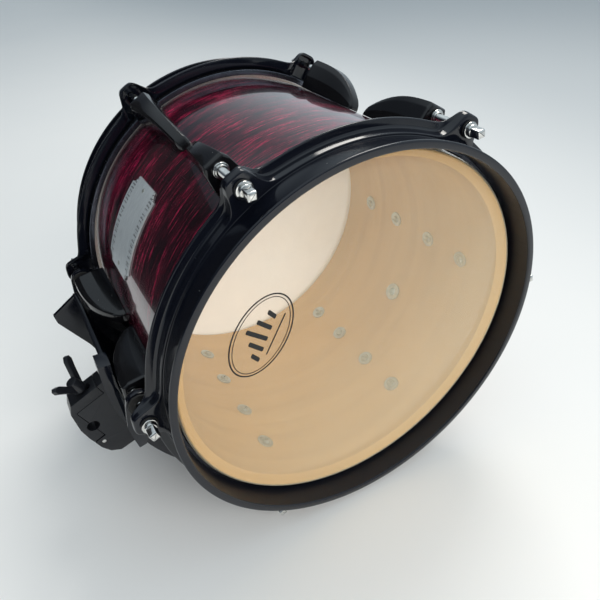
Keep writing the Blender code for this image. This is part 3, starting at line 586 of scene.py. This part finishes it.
def build_shell():
    """A ply cylinder with two bearing edges, and the wrap round it."""
    inner = SHELL_RADIUS - WALL
    outer = SHELL_RADIUS - WRAP
    peak = outer - 0.0011
    slope = peak - inner
    corners = []
    for end in (1, -1):
        side = [
            (outer, end * (HALF - 0.0013), 0.0002),
            (peak, end * HALF, 0.0007),
            (inner, end * (HALF - slope), 0.0010),
        ]
        corners += side if end == 1 else side[::-1]
    plies = lathe("shell_plies", rounded(corners))
    plies.data.transform(BACK)
    hole_at = BACK @ turn(VENT_TURN) @ Matrix.Translation((SHELL_RADIUS, 0, 0))
    hole_at = hole_at @ Matrix.Rotation(math.pi / 2, 4, "Y")
    edge = HALF - 0.0014
    corners = [
        (outer + 0.00004, edge, 0.0), (SHELL_RADIUS, edge, 0.0002),
        (SHELL_RADIUS, -edge, 0.0002), (outer + 0.00004, -edge, 0.0),
    ]
    wrap = lathe("shell_wrap", rounded(corners))
    wrap.data.transform(BACK)
    for piece in (plies, wrap):
        deselect()
        bpy.ops.mesh.primitive_cylinder_add(vertices=40, radius=VENT_HOLE, depth=WALL * 4)
        cutter = bpy.context.object
        cutter.data.transform(hole_at)
        cut(piece, cutter)
        smooth(piece)
    dress(plies, MAPLE)
    dress(wrap, WRAP_FINISH)
    settle(plies, "shell_plies", "drum", ["shell"])
    settle(wrap, "shell_wrap", "drum")


def build_grommet():
    """A bright flanged ring through the shell."""
    lip = 0.0090
    bore = 0.0040
    outside = SHELL_RADIUS + GAP
    inside = SHELL_RADIUS - WALL - GAP - lip**2 / (2 * (SHELL_RADIUS - WALL))
    corners = [
        (bore, inside - 0.0012, 0.0004), (bore, outside + 0.0012, 0.0005), (lip, outside + 0.0012, 0.0005),
        (lip, outside, 0.0002), (0.0059, outside, 0.0), (0.0059, inside, 0.0),
        (lip, inside, 0.0002), (lip, inside - 0.0012, 0.0005),
    ]
    ring = lathe("vent_grommet_ring", rounded(corners), 48)
    ring.data.transform(BACK @ turn(VENT_TURN) @ Matrix.Rotation(-math.pi / 2, 4, "Z"))
    smooth(ring)
    dress(ring, ZINC)
    settle(ring, "vent_grommet_ring", "drum", ["vent_grommet"])


def build_heads():
    """Film over the bearing edge, crimped into a metal channel."""
    skirt = SHELL_RADIUS + GAP + 0.0005
    foot = FLESH_TOP - 0.0049
    corners = [
        (0, HEAD_FACE, 0), (SHELL_RADIUS - 0.0010, HEAD_FACE, 0.0022), (skirt, HALF - 0.0016, 0.0012),
        (skirt, foot, 0.0), (skirt - FILM, foot, 0.0), (skirt - FILM, HALF - 0.0018, 0.0010),
        (SHELL_RADIUS - 0.0011, HEAD_FACE - FILM, 0.0020), (0, HEAD_FACE - FILM, 0),
    ]
    film = lathe("film", rounded(corners, 6), closed=False)
    inner = skirt + GAP
    corners = [
        (FLESH_OUTER, FLESH_TOP, 0.0012), (FLESH_OUTER, FLESH_BASE, 0.0005),
        (inner, FLESH_BASE, 0.0003), (inner, FLESH_TOP, 0.0009),
    ]
    channel = lathe("channel", rounded(corners))
    for piece in (film, channel):
        smooth(piece)
    dress(channel, CHANNEL_METAL)
    for name, matrix, _ in half_frames():
        head = copy_of(film, matrix)
        dress(head, FRONT_FILM if name == "front" else BACK_FILM)
        settle(head, f"{name}_head_film", "drum", [f"{name}_head"])
        hoop = copy_of(channel, matrix)
        settle(hoop, f"{name}_flesh_channel", "drum", [f"{name}_flesh_hoop"])
    drop(film, channel)


EMBLEM_CENTRE = (-0.0848, 0.0404)
EMBLEM_LENGTH = 0.0685
EMBLEM_WIDTH = 0.0450
EMBLEM_TURN = 60.0
PRINT = 0.00004


def oval_line(length, width, line):
    """A flat oval ring lying in the XZ plane."""
    deselect()
    bpy.ops.mesh.primitive_circle_add(vertices=96, radius=0.5, rotation=ACROSS_Y)
    ring = bpy.context.object
    bpy.ops.object.transform_apply(location=False, rotation=True, scale=False)
    bpy.ops.object.mode_set(mode="EDIT")
    bpy.ops.mesh.select_all(action="SELECT")
    bpy.ops.transform.resize(value=(length, 1, width))
    bpy.ops.mesh.extrude_edges_move(TRANSFORM_OT_translate={"value": (0, 0, 0)})
    bpy.ops.transform.resize(value=(1 - 2 * line / length, 1, 1 - 2 * line / width))
    bpy.ops.mesh.select_all(action="SELECT")
    bpy.ops.mesh.extrude_region_move(TRANSFORM_OT_translate={"value": (0, -PRINT, 0)})
    bpy.ops.mesh.select_all(action="SELECT")
    bpy.ops.mesh.normals_make_consistent(inside=False)
    close_edit()
    return ring


def printed_bar(width, height, slant, place):
    """A flat printed bar whose top leans over by a slant."""
    deselect()
    bpy.ops.mesh.primitive_plane_add(size=1, rotation=ACROSS_Y)
    bar = bpy.context.object
    bpy.ops.object.transform_apply(location=False, rotation=True, scale=False)
    edit(bar)
    bpy.ops.mesh.select_all(action="SELECT")
    bpy.ops.transform.resize(value=(width, 1, height))
    bpy.ops.mesh.bevel(offset=min(width, height) * 0.3, segments=4, affect="VERTICES")
    bpy.ops.mesh.select_all(action="SELECT")
    bpy.ops.mesh.extrude_region_move(TRANSFORM_OT_translate={"value": (0, -PRINT, 0)})
    bpy.ops.mesh.select_all(action="SELECT")
    bpy.ops.mesh.normals_make_consistent(inside=False)
    close_edit()
    for vert in bar.data.vertices:
        vert.co.x += place[0] + vert.co.z / height * slant
        vert.co.z += place[1]
    return bar


def build_emblem():
    """A printed double oval round a plain ornament of leaning bars, with no lettering."""
    parts = [
        oval_line(EMBLEM_LENGTH, EMBLEM_WIDTH, 0.00115),
        oval_line(EMBLEM_LENGTH - 0.0052, EMBLEM_WIDTH - 0.0052, 0.00065),
        printed_bar(0.0340, 0.0011, 0.0004, (0.0030, -0.0108)),
    ]
    for number, height in enumerate((0.0080, 0.0135, 0.0190, 0.0135, 0.0080)):
        place = ((number - 2) * 0.0088, -0.0070 + height / 2 + 0.0006 * number)
        parts.append(printed_bar(0.0036, height, 0.0030, place))
    emblem = join(parts, "head_emblem")
    centre = Vector((EMBLEM_CENTRE[0], -0.00006, EMBLEM_CENTRE[1]))
    emblem.data.transform(Matrix.Translation(centre) @ turn(EMBLEM_TURN))
    dress(emblem, INK)
    settle(emblem, "head_emblem", "drum")


# ---------------------------------------------------------------- rims


def rim_corners(ear):
    """The rim's section, between the lug lines or through the middle of an ear."""
    wall_outer = RIM_INNER + SHEET
    pocket_inner = FLESH_OUTER + GAP
    pocket_outer = pocket_inner + SHEET
    flange_top = FLANGE_LOW + SHEET
    lip = wall_outer + LIP_REACH
    seat = SHOULDER - SHEET
    corners = [
        (RIM_INNER, RIM_TOP, 0.0016), (lip, RIM_TOP, 0.0012),
        (lip - 0.0002, RIM_TOP - SHEET - 0.0005, 0.0009), (wall_outer, RIM_TOP - SHEET, 0.0014),
        (wall_outer, SHOULDER, 0.0006),
    ]
    if ear:
        corners += [
            (pocket_outer + 0.0025, EAR_TOP, 0.0020), (EAR_REACH - 0.0006, EAR_TOP, 0.0018),
            (EAR_REACH, EAR_TOP - 0.0040, 0.0010), (EAR_REACH, EAR_TOP - EAR_SKIRT, 0.0007),
            (EAR_REACH - SHEET, EAR_TOP - EAR_SKIRT, 0.0006),
            (EAR_REACH - SHEET - 0.0008, EAR_TOP - SHEET, 0.0008),
            (pocket_inner + 0.0012, EAR_TOP - SHEET, 0.0004),
        ]
    else:
        corners += [
            (pocket_outer - 0.0009, SHOULDER, 0.0001), (pocket_outer, SHOULDER, 0.0007),
            (pocket_outer + 0.0012, flange_top, 0.0022), (FLANGE_RADIUS, flange_top, 0.0009),
            (FLANGE_RADIUS, FLANGE_LOW, 0.0009), (pocket_inner + 0.0030, FLANGE_LOW, 0.0012),
            (pocket_inner, FLANGE_LOW + 0.0030, 0.0012),
        ]
    return corners + [(pocket_inner, seat, 0.0004), (RIM_INNER, seat, 0.0008)]


def draw_ears(rim, plain, eared):
    """Moves the turned rim's vertices towards the ear's section near each lug line."""
    line_step = math.tau / len(LINES)
    for vert in rim.data.vertices:
        radius = math.hypot(vert.co.x, vert.co.z)
        angle = math.atan2(vert.co.z, vert.co.x)
        line = round(angle / line_step) * line_step
        off = angle - line
        off -= EAR_CROWDING * math.sin(off * len(LINES)) / len(LINES)
        reach = 1.0 / (1.0 + (abs(off) * ROD_CIRCLE / EAR_HALF_WIDTH) ** 5)
        apart = [math.hypot(point[0] - radius, point[1] - vert.co.y) for point in plain]
        number = apart.index(min(apart))
        radius = plain[number][0] + (eared[number][0] - plain[number][0]) * reach
        along = plain[number][1] + (eared[number][1] - plain[number][1]) * reach
        vert.co = (radius * math.cos(line + off), along, radius * math.sin(line + off))


def build_rims():
    """Two pressed steel rims, each with a rolled lip and six ears bored for the rods."""
    plain = rounded(rim_corners(False))
    eared = rounded(rim_corners(True))
    rim = lathe("rim", plain, RIM_STEPS)
    draw_ears(rim, plain, eared)
    bores = []
    for degrees in LINES.values():
        deselect()
        bpy.ops.mesh.primitive_cylinder_add(vertices=32, radius=ROD_BORE, depth=0.03, rotation=ACROSS_Y)
        bore = bpy.context.object
        bpy.ops.object.transform_apply(location=False, rotation=True, scale=False)
        bore.data.transform(turn(degrees) @ Matrix.Translation((ROD_CIRCLE, EAR_TOP, 0)))
        bores.append(bore)
    cut(rim, join(bores, "bores"))
    smooth(rim, 50)
    dress(rim, RIM_BLACK, RIM_INSIDE)
    for face in rim.data.polygons:
        # The wall's inner side keeps less gloss than the rest.
        if math.hypot(face.center.x, face.center.z) < RIM_INNER + 0.0002:
            face.material_index = 1
    for name, matrix, _ in half_frames():
        settle(copy_of(rim, matrix), f"{name}_rim", "drum", [f"{name}_hoop"])
    drop(rim)


# ---------------------------------------------------------------- lugs, nuts, rods and washers


def lug_section_points():
    """Half-width and height shares of a lug's section: foot, side wall, shoulder and flat pad."""
    corners = [
        (-1.0, 0.0, 0.0), (-1.0, 0.42, 0.10), (-0.84, 0.83, 0.12), (-0.62, 1.0, 0.07),
        (0.62, 1.0, 0.07), (0.84, 0.83, 0.12), (1.0, 0.42, 0.10), (1.0, 0.0, 0.0),
    ]
    return rounded(corners, 3)


def lug_station(share):
    """(half-width, height) of a lug at a share of its length from its inner tip."""
    spread = 0.45 * share + 0.55 * share**2.4
    rise = 1.0 - (1.0 - share) ** 3.0
    end = SHELL_RADIUS + GAP
    half = (LUG_TIP_WIDTH + (LUG_WIDTH - LUG_TIP_WIDTH) * spread) / 2
    height = SHELL_RADIUS + LUG_TIP_RISE + (LUG_TOP - SHELL_RADIUS - LUG_TIP_RISE) * rise - end
    ease_in = min(1.0, share / 0.05)
    ease_out = min(1.0, (1.0 - share) / 0.04)
    round_in = math.sqrt(1.0 - (1.0 - ease_in) ** 2)
    round_out = 0.90 + 0.10 * math.sqrt(1.0 - (1.0 - ease_out) ** 2)
    return half * (0.55 + 0.45 * round_in) * round_out, height * (0.30 + 0.70 * round_in) * round_out


def build_lug():
    """One cast lug at 3 o'clock: its section is extruded station by station along the shell."""
    foot = SHELL_RADIUS + GAP
    points = lug_section_points()
    shares = [0.0, 0.004, 0.012, 0.025, 0.05, 0.09, 0.14, 0.20, 0.27, 0.35, 0.43, 0.51]
    shares += [0.59, 0.67, 0.75, 0.83, 0.90, 0.94, 0.96, 0.975, 0.99, 0.997, 1.0]
    half, height = lug_station(0.0)
    deselect()
    bpy.ops.mesh.primitive_circle_add(vertices=len(points), radius=0.01, fill_type="NGON")
    lug = bpy.context.object
    for vert, (across, up) in zip(lug.data.vertices, points):
        vert.co = (foot + height * up, LUG_START, half * across)
    edit(lug)
    bpy.ops.mesh.select_all(action="SELECT")
    for before, after in zip(shares, shares[1:]):
        step = (LUG_END - LUG_START) * (after - before)
        bpy.ops.mesh.extrude_region_move(TRANSFORM_OT_translate={"value": (0, step, 0)})
        old_half, old_height = lug_station(before)
        new_half, new_height = lug_station(after)
        change = (new_height / old_height, 1, new_half / old_half)
        bpy.ops.transform.resize(value=change, center_override=(foot, 0, 0))
    bpy.ops.mesh.select_all(action="SELECT")
    bpy.ops.mesh.normals_make_consistent(inside=False)
    close_edit()
    deselect()
    bpy.ops.mesh.primitive_cylinder_add(vertices=32, radius=0.0053, depth=0.02, rotation=ACROSS_Y)
    bore = bpy.context.object
    bpy.ops.object.transform_apply(location=False, rotation=True, scale=False)
    bore.data.transform(Matrix.Translation((ROD_CIRCLE, LUG_END, 0)))
    cut(lug, bore)
    smooth(lug, 40)
    return dress(lug, CAST_BLACK)


def build_nut():
    """A swivel nut: a small flange with a rolled edge and a short collar round the rod."""
    flange = LUG_END + GAP
    foot = LUG_END - 0.009
    corners = [
        (ROD_BORE, NUT_TOP + 0.0004, 0.0003), (0.0042, NUT_TOP + 0.0004, 0.0005),
        (0.0044, NUT_TOP - 0.0008, 0.0003), (0.0055, NUT_TOP - 0.0008, 0.0006), (0.0055, flange, 0.0005),
        (0.0050, flange, 0.0), (0.0050, foot, 0.0), (ROD_BORE, foot, 0.0),
    ]
    nut = lathe("nut", rounded(corners), 48)
    nut.data.transform(Matrix.Translation((ROD_CIRCLE, 0, 0)))
    smooth(nut)
    return dress(nut, CHROME)


def build_rod():
    """A tension rod: threaded foot, plain shank, round collar and chamfered square head."""
    threads = 12
    pitch = 0.0009
    collar_top = ROD_SEAT + 0.0026
    thread_top = NUT_TOP + threads * pitch
    corners = [
        (0, collar_top, 0), (COLLAR_RADIUS, collar_top, 0.0009), (COLLAR_RADIUS, ROD_SEAT, 0.0004),
        (ROD_RADIUS, ROD_SEAT, 0.0), (ROD_RADIUS, thread_top, 0.0),
    ]
    for number in range(threads):
        top = thread_top - number * pitch
        corners += [(ROD_RADIUS - 0.0004, top - pitch / 2, 0.0), (ROD_RADIUS, top - pitch, 0.0)]
    corners += [(ROD_RADIUS, ROD_END + 0.001, 0.0), (ROD_RADIUS - 0.001, ROD_END, 0.0), (0, ROD_END, 0.0)]
    shank = lathe("shank", rounded(corners, 3), 32, closed=False)
    deselect()
    bpy.ops.mesh.primitive_cube_add(size=1)
    head = bpy.context.object
    low = ROD_SEAT + 0.0015
    edit(head)
    bpy.ops.mesh.select_all(action="SELECT")
    bpy.ops.transform.resize(value=(SQUARE, ROD_TOP - low, SQUARE))
    bpy.ops.transform.translate(value=(0, (ROD_TOP + low) / 2, 0))
    shape = bmesh.from_edit_mesh(head.data)
    bpy.ops.mesh.select_all(action="DESELECT")
    bpy.ops.mesh.select_mode(type="EDGE")
    for edge in shape.edges:
        edge.select = abs(edge.verts[0].co.y - edge.verts[1].co.y) > 0.001
    bpy.ops.mesh.bevel(offset=0.0009, segments=3)
    bpy.ops.mesh.select_all(action="DESELECT")
    for edge in shape.edges:
        edge.select = min(edge.verts[0].co.y, edge.verts[1].co.y) > ROD_TOP - 0.0001
    bpy.ops.mesh.bevel(offset=0.0013, segments=4)
    bpy.ops.mesh.select_mode(type="VERT")
    close_edit()
    rod = join([shank, head], "rod")
    smooth(rod, 35)
    return dress(rod, CHROME)


def build_washer(outer, low, high, material):
    """A round washer between two places along the rod."""
    bore = ROD_RADIUS + 0.0003
    corners = [(bore, high, 0.0), (outer, high, 0.0003), (outer, low, 0.0003), (bore, low, 0.0)]
    washer = lathe("washer", rounded(corners, 2), 48)
    washer.data.transform(Matrix.Translation((ROD_CIRCLE, 0, 0)))
    smooth(washer)
    return dress(washer, material)


def build_screw():
    """A lug screw seen from inside the shell: a broad washer and a slotted round head."""
    corners = [
        (0, 0.0036, 0), (0.0032, 0.0033, 0.0012), (0.0040, 0.0012, 0.0004), (0.0040, 0.0, 0.0), (0, 0.0, 0),
    ]
    head = lathe("screw", rounded(corners, 3), 32, closed=False)
    corners = [
        (0.0039, 0.0012, 0.0002), (0.0075, 0.0012, 0.0004), (0.0075, -0.0001, 0.0), (0.0039, -0.0001, 0.0),
    ]
    washer = lathe("screw_washer", rounded(corners, 2), 40)
    deselect()
    bpy.ops.mesh.primitive_cube_add(size=1)
    slot = bpy.context.object
    slot.data.transform(Matrix.Translation((0, 0.0036, 0)) @ Matrix.Diagonal((0.0090, 0.0018, 0.0011, 1)))
    cut(head, slot)
    screw = join([head, washer], "screw")
    # The head points along Y as it is turned, and then towards the shell's axis.
    inward = Matrix.Translation((SHELL_RADIUS - WALL - 0.0003, 0, 0)) @ Matrix.Rotation(math.pi / 2, 4, "Z")
    screw.data.transform(inward)
    smooth(screw)
    return dress(screw, ZINC)


ROD_TURNS = {3: 12.0, 1: 38.0, 11: 63.0, 9: 24.0, 7: 50.0, 5: 5.0}


def build_lug_lines():
    """Copies the lug, nut, rod, washers and screws to both halves of every lug line."""
    lug = build_lug()
    nut = build_nut()
    rod = build_rod()
    nylon = build_washer(0.00615, EAR_TOP + 0.0001, EAR_TOP + 0.0017, NYLON)
    steel = build_washer(0.0058, EAR_TOP + 0.0019, ROD_SEAT - 0.0002, CHROME)
    screw = build_screw()
    for end, matrix, mirrored in half_frames():
        for hour, degrees in LINES.items():
            place = matrix @ turn(mirrored(degrees))
            mark = f"{end}_{hour}"
            settle(copy_of(lug, place), f"cast_lug_{mark}", "drum", [f"lug_{mark}"])
            settle(copy_of(nut, place), f"nut_{mark}", "drum", [f"swivel_nut_{mark}"])
            settle(copy_of(nylon, place), f"nylon_washer_{mark}", "drum")
            settle(copy_of(steel, place), f"steel_washer_{mark}", "drum")
            rod_turn = Matrix.Rotation(math.radians(ROD_TURNS[hour]), 4, "Y")
            spun = copy_of(rod, place @ Matrix.Translation((ROD_CIRCLE, 0, 0)) @ rod_turn)
            settle(spun, f"rod_{mark}", f"rod_{mark}", [f"tension_rod_{mark}"])
            for number, along in enumerate(SCREW_PLACES):
                slot_turn = Matrix.Rotation(math.radians(degrees * 1.7 + 40 * number), 4, "X")
                driven = copy_of(screw, place @ Matrix.Translation((0, along, 0)) @ slot_turn)
                settle(driven, f"lug_screw_{mark}_{number}", "drum")
    drop(lug, nut, rod, nylon, steel, screw)


# ---------------------------------------------------------------- badge


def build_badge():
    """A thin curved plate with a scoop at each corner and a rivet at each end."""
    width = BADGE_HIGH.y - BADGE_LOW.y
    half = BADGE_LENGTH / 2
    rivet_place = half - RIVET_FROM_END
    deselect()
    bpy.ops.mesh.primitive_grid_add(x_subdivisions=76, y_subdivisions=52, size=1)
    plate = bpy.context.object
    edit(plate)
    bpy.ops.mesh.select_all(action="SELECT")
    bpy.ops.transform.resize(value=(BADGE_LENGTH, width, 1))
    close_edit()
    apply_modifier(plate, "SOLIDIFY", thickness=0.0010, offset=1.0)
    holes = []
    for side in (1, -1):
        for radius, x, y in (
            (BADGE_SCOOP, half, width / 2), (BADGE_SCOOP, half, -width / 2), (0.0014, rivet_place, 0.0),
        ):
            deselect()
            place = (side * x, y, 0)
            bpy.ops.mesh.primitive_cylinder_add(vertices=40, radius=radius, depth=0.01, location=place)
            hole = bpy.context.object
            bpy.ops.object.transform_apply()
            holes.append(hole)
    cut(plate, join(holes, "holes"))
    for vert in plate.data.vertices:
        spread = vert.co.x / SHELL_RADIUS
        radius = SHELL_RADIUS + GAP + vert.co.z - 0.0001
        vert.co = (radius * math.cos(spread), vert.co.y, radius * math.sin(spread))
    plate.data.transform(Matrix.Translation((0, BADGE_MIDDLE, 0)) @ turn(BADGE_TURN))
    smooth(plate, 30)
    dress(plate, BADGE_FACE)
    settle(plate, "badge_plate", "drum", ["badge"])
    corners = [
        (0, 0.0012, 0), (0.0014, 0.0011, 0.0004), (0.0021, 0.0002, 0.0), (0.0021, -0.001, 0), (0, -0.001, 0),
    ]
    rivet = lathe("rivet", rounded(corners, 3), 24, closed=False)
    outward = Matrix.Rotation(-math.pi / 2, 4, "Z")
    rivet.data.transform(Matrix.Translation((SHELL_RADIUS + 0.0006, 0, 0)) @ outward)
    smooth(rivet)
    dress(rivet, ZINC)
    for number, side in enumerate((1, -1)):
        spread = math.degrees(side * rivet_place / SHELL_RADIUS)
        made = copy_of(rivet, Matrix.Translation((0, BADGE_MIDDLE, 0)) @ turn(BADGE_TURN + spread))
        settle(made, f"badge_rivet_{number}", "drum")
    drop(rivet)


# ---------------------------------------------------------------- bracket and clamp


def softened(node, name, body, material, width, segments=3, angle=25):
    """A copy of a node with its flats made whole and its edges rounded over."""
    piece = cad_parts[node].copy()
    piece.data = piece.data.copy()
    for key in [key for key in piece.keys() if key.startswith("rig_")]:
        del piece[key]
    piece.parent = None
    bpy.context.collection.objects.link(piece)
    edit(piece)
    bpy.ops.mesh.select_all(action="SELECT")
    bpy.ops.mesh.remove_doubles(threshold=2e-6)
    bpy.ops.mesh.dissolve_limited(angle_limit=math.radians(1.0))
    close_edit()
    apply_modifier(
        piece, "BEVEL", width=width, segments=segments, limit_method="ANGLE",
        angle_limit=math.radians(angle), use_clamp_overlap=True, loop_slide=False,
    )
    smooth(piece, 40)
    dress(piece, material)
    return settle(piece, name, body, [node])


def build_mount():
    """The bracket, its bushes and the rod clamp."""
    softened("suspension_bracket", "bracket_plate", "drum", PLATE_BLACK, 0.0007)
    softened("clamp_body", "clamp_casting", "drum", CLAMP_BLACK, 0.0009)
    softened("clamp_jaw", "jaw_casting", "jaw", CLAMP_BLACK, 0.0009)
    softened("wing_bolt", "wing_bolt_casting", "wing_bolt", CLAMP_BLACK, 0.0010)
    softened("hinge_pin", "jaw_pin", "drum", CHROME, 0.0004)
    for end in ("front", "back"):
        for hour in (9, 7):
            node = f"rubber_bush_{end}_{hour}"
            softened(node, f"bush_{end}_{hour}", "drum", RUBBER, 0.0003, 2)


# ---------------------------------------------------------------- floor, light and camera


def build_stage():
    """A pale paper floor with painted shade that darkens it with distance and towards the right, and a dark
    card that only the gloss sees, on the left behind the drum.
    """
    material, tree, shader = new_material("studio_paper", {"Roughness": 0.6, "Specular IOR Level": 0.2})
    place = object_place(tree)
    tone = stretched_noise(tree, place, (2, 2, 2), 3.0)
    parts = add_node(tree, "ShaderNodeSeparateXYZ", Vector=place)
    # Painted shade: the paper colour is darkened with distance along Y and towards the right along X.
    painted_distance_shade = fade(tree, parts.outputs["Y"], 0.8, 2.6)
    near = mix_colour(tree, tone, (0.81, 0.80, 0.78, 1), (0.76, 0.76, 0.75, 1))
    distance_shaded_floor = mix_colour(tree, painted_distance_shade, near, (0.62, 0.64, 0.68, 1))
    painted_side_shade = fade(tree, parts.outputs["X"], 0.10, 1.2)
    tree.links.new(mix_colour(tree, painted_side_shade, distance_shaded_floor, (0.52, 0.54, 0.55, 1)), shader.inputs["Base Color"])
    deselect()
    bpy.ops.mesh.primitive_plane_add(size=24, location=(0, 6, FLOOR - 0.0001))
    floor = bpy.context.object
    floor.name = "studio_floor"
    dress(floor, material)
    deselect()
    flag_turn = (math.pi / 2, 0, math.radians(60))
    bpy.ops.mesh.primitive_plane_add(size=1, location=(-0.44, 0.62, 0.17), rotation=flag_turn)
    flag = bpy.context.object
    flag.name = "black_flag"
    flag.scale = (0.85, 0.64, 1)
    flag.visible_camera = False
    flag.visible_diffuse = False
    flag.visible_shadow = False
    flag.visible_transmission = False
    cloth = new_material("flag_cloth", {"Base Color": (0.01, 0.01, 0.012, 1), "Roughness": 0.9})[0]
    dress(flag, cloth)


def add_lamp(name, place, target, size, power, colour, seen_in_gloss=True):
    """A soft rectangular lamp aimed at a point."""
    data = bpy.data.lights.new(name, "AREA")
    data.shape = "RECTANGLE"
    data.size, data.size_y = size
    data.energy = power
    data.color = colour
    lamp = bpy.data.objects.new(name, data)
    bpy.context.scene.collection.objects.link(lamp)
    lamp.location = place
    lamp.rotation_mode = "QUATERNION"
    lamp.rotation_quaternion = (Vector(target) - Vector(place)).to_track_quat("-Z", "Y")
    lamp.visible_glossy = seen_in_gloss
    return lamp


def build_light():
    """A pale room: bright overhead and on the right, dim along the left."""
    bpy.context.scene.view_settings.view_transform = "Standard"
    world = bpy.data.worlds.new("studio")
    bpy.context.scene.world = world
    world.use_nodes = True
    tree = world.node_tree
    background = tree.nodes["Background"]
    direction = add_node(tree, "ShaderNodeTexCoord").outputs["Generated"]
    parts = add_node(tree, "ShaderNodeSeparateXYZ", Vector=direction)
    above = fade(tree, parts.outputs["Z"], 0.40, 0.90)
    right = fade(tree, parts.outputs["X"], -0.15, 0.65)
    share = math_node(tree, "MAXIMUM", above, math_node(tree, "MULTIPLY", right, 0.85))
    colour = mix_colour(tree, share, (0.10, 0.12, 0.15, 1), (0.80, 0.92, 1.0, 1))
    tree.links.new(colour, background.inputs["Color"])
    background.inputs["Strength"].default_value = 0.85
    middle = (0, MIDDLE, 0)
    add_lamp("key", (0.9, 0.9, 1.7), middle, (0.9, 0.7), 20, (1.0, 0.96, 0.90))
    add_lamp("front_fill", (0.15, -1.7, 1.0), middle, (1.4, 1.2), 32, (1.0, 0.97, 0.92), False)


def build_camera():
    """The view from above the front head's left side."""
    place = (-0.2008, -0.2805, 0.2852)
    ahead = Vector((0.3779, 0.7204, -0.5816)).normalized()
    up = Vector((0.3150, 0.4907, 0.8124))
    right = ahead.cross(up).normalized()
    up = right.cross(ahead).normalized()
    data = bpy.data.cameras.new("camera")
    data.lens = 34.15
    data.sensor_width = 36.0
    data.clip_start = 0.01
    data.clip_end = 40.0
    camera = bpy.data.objects.new("camera", data)
    bpy.context.scene.collection.objects.link(camera)
    turned = Matrix((right, up, -ahead)).transposed().to_4x4()
    camera.matrix_world = Matrix.Translation(place) @ turned
    bpy.context.scene.camera = camera


build_camera()
build_shell()
build_grommet()
build_heads()
build_emblem()
build_rims()
build_lug_lines()
build_badge()
build_mount()
build_stage()
build_light()
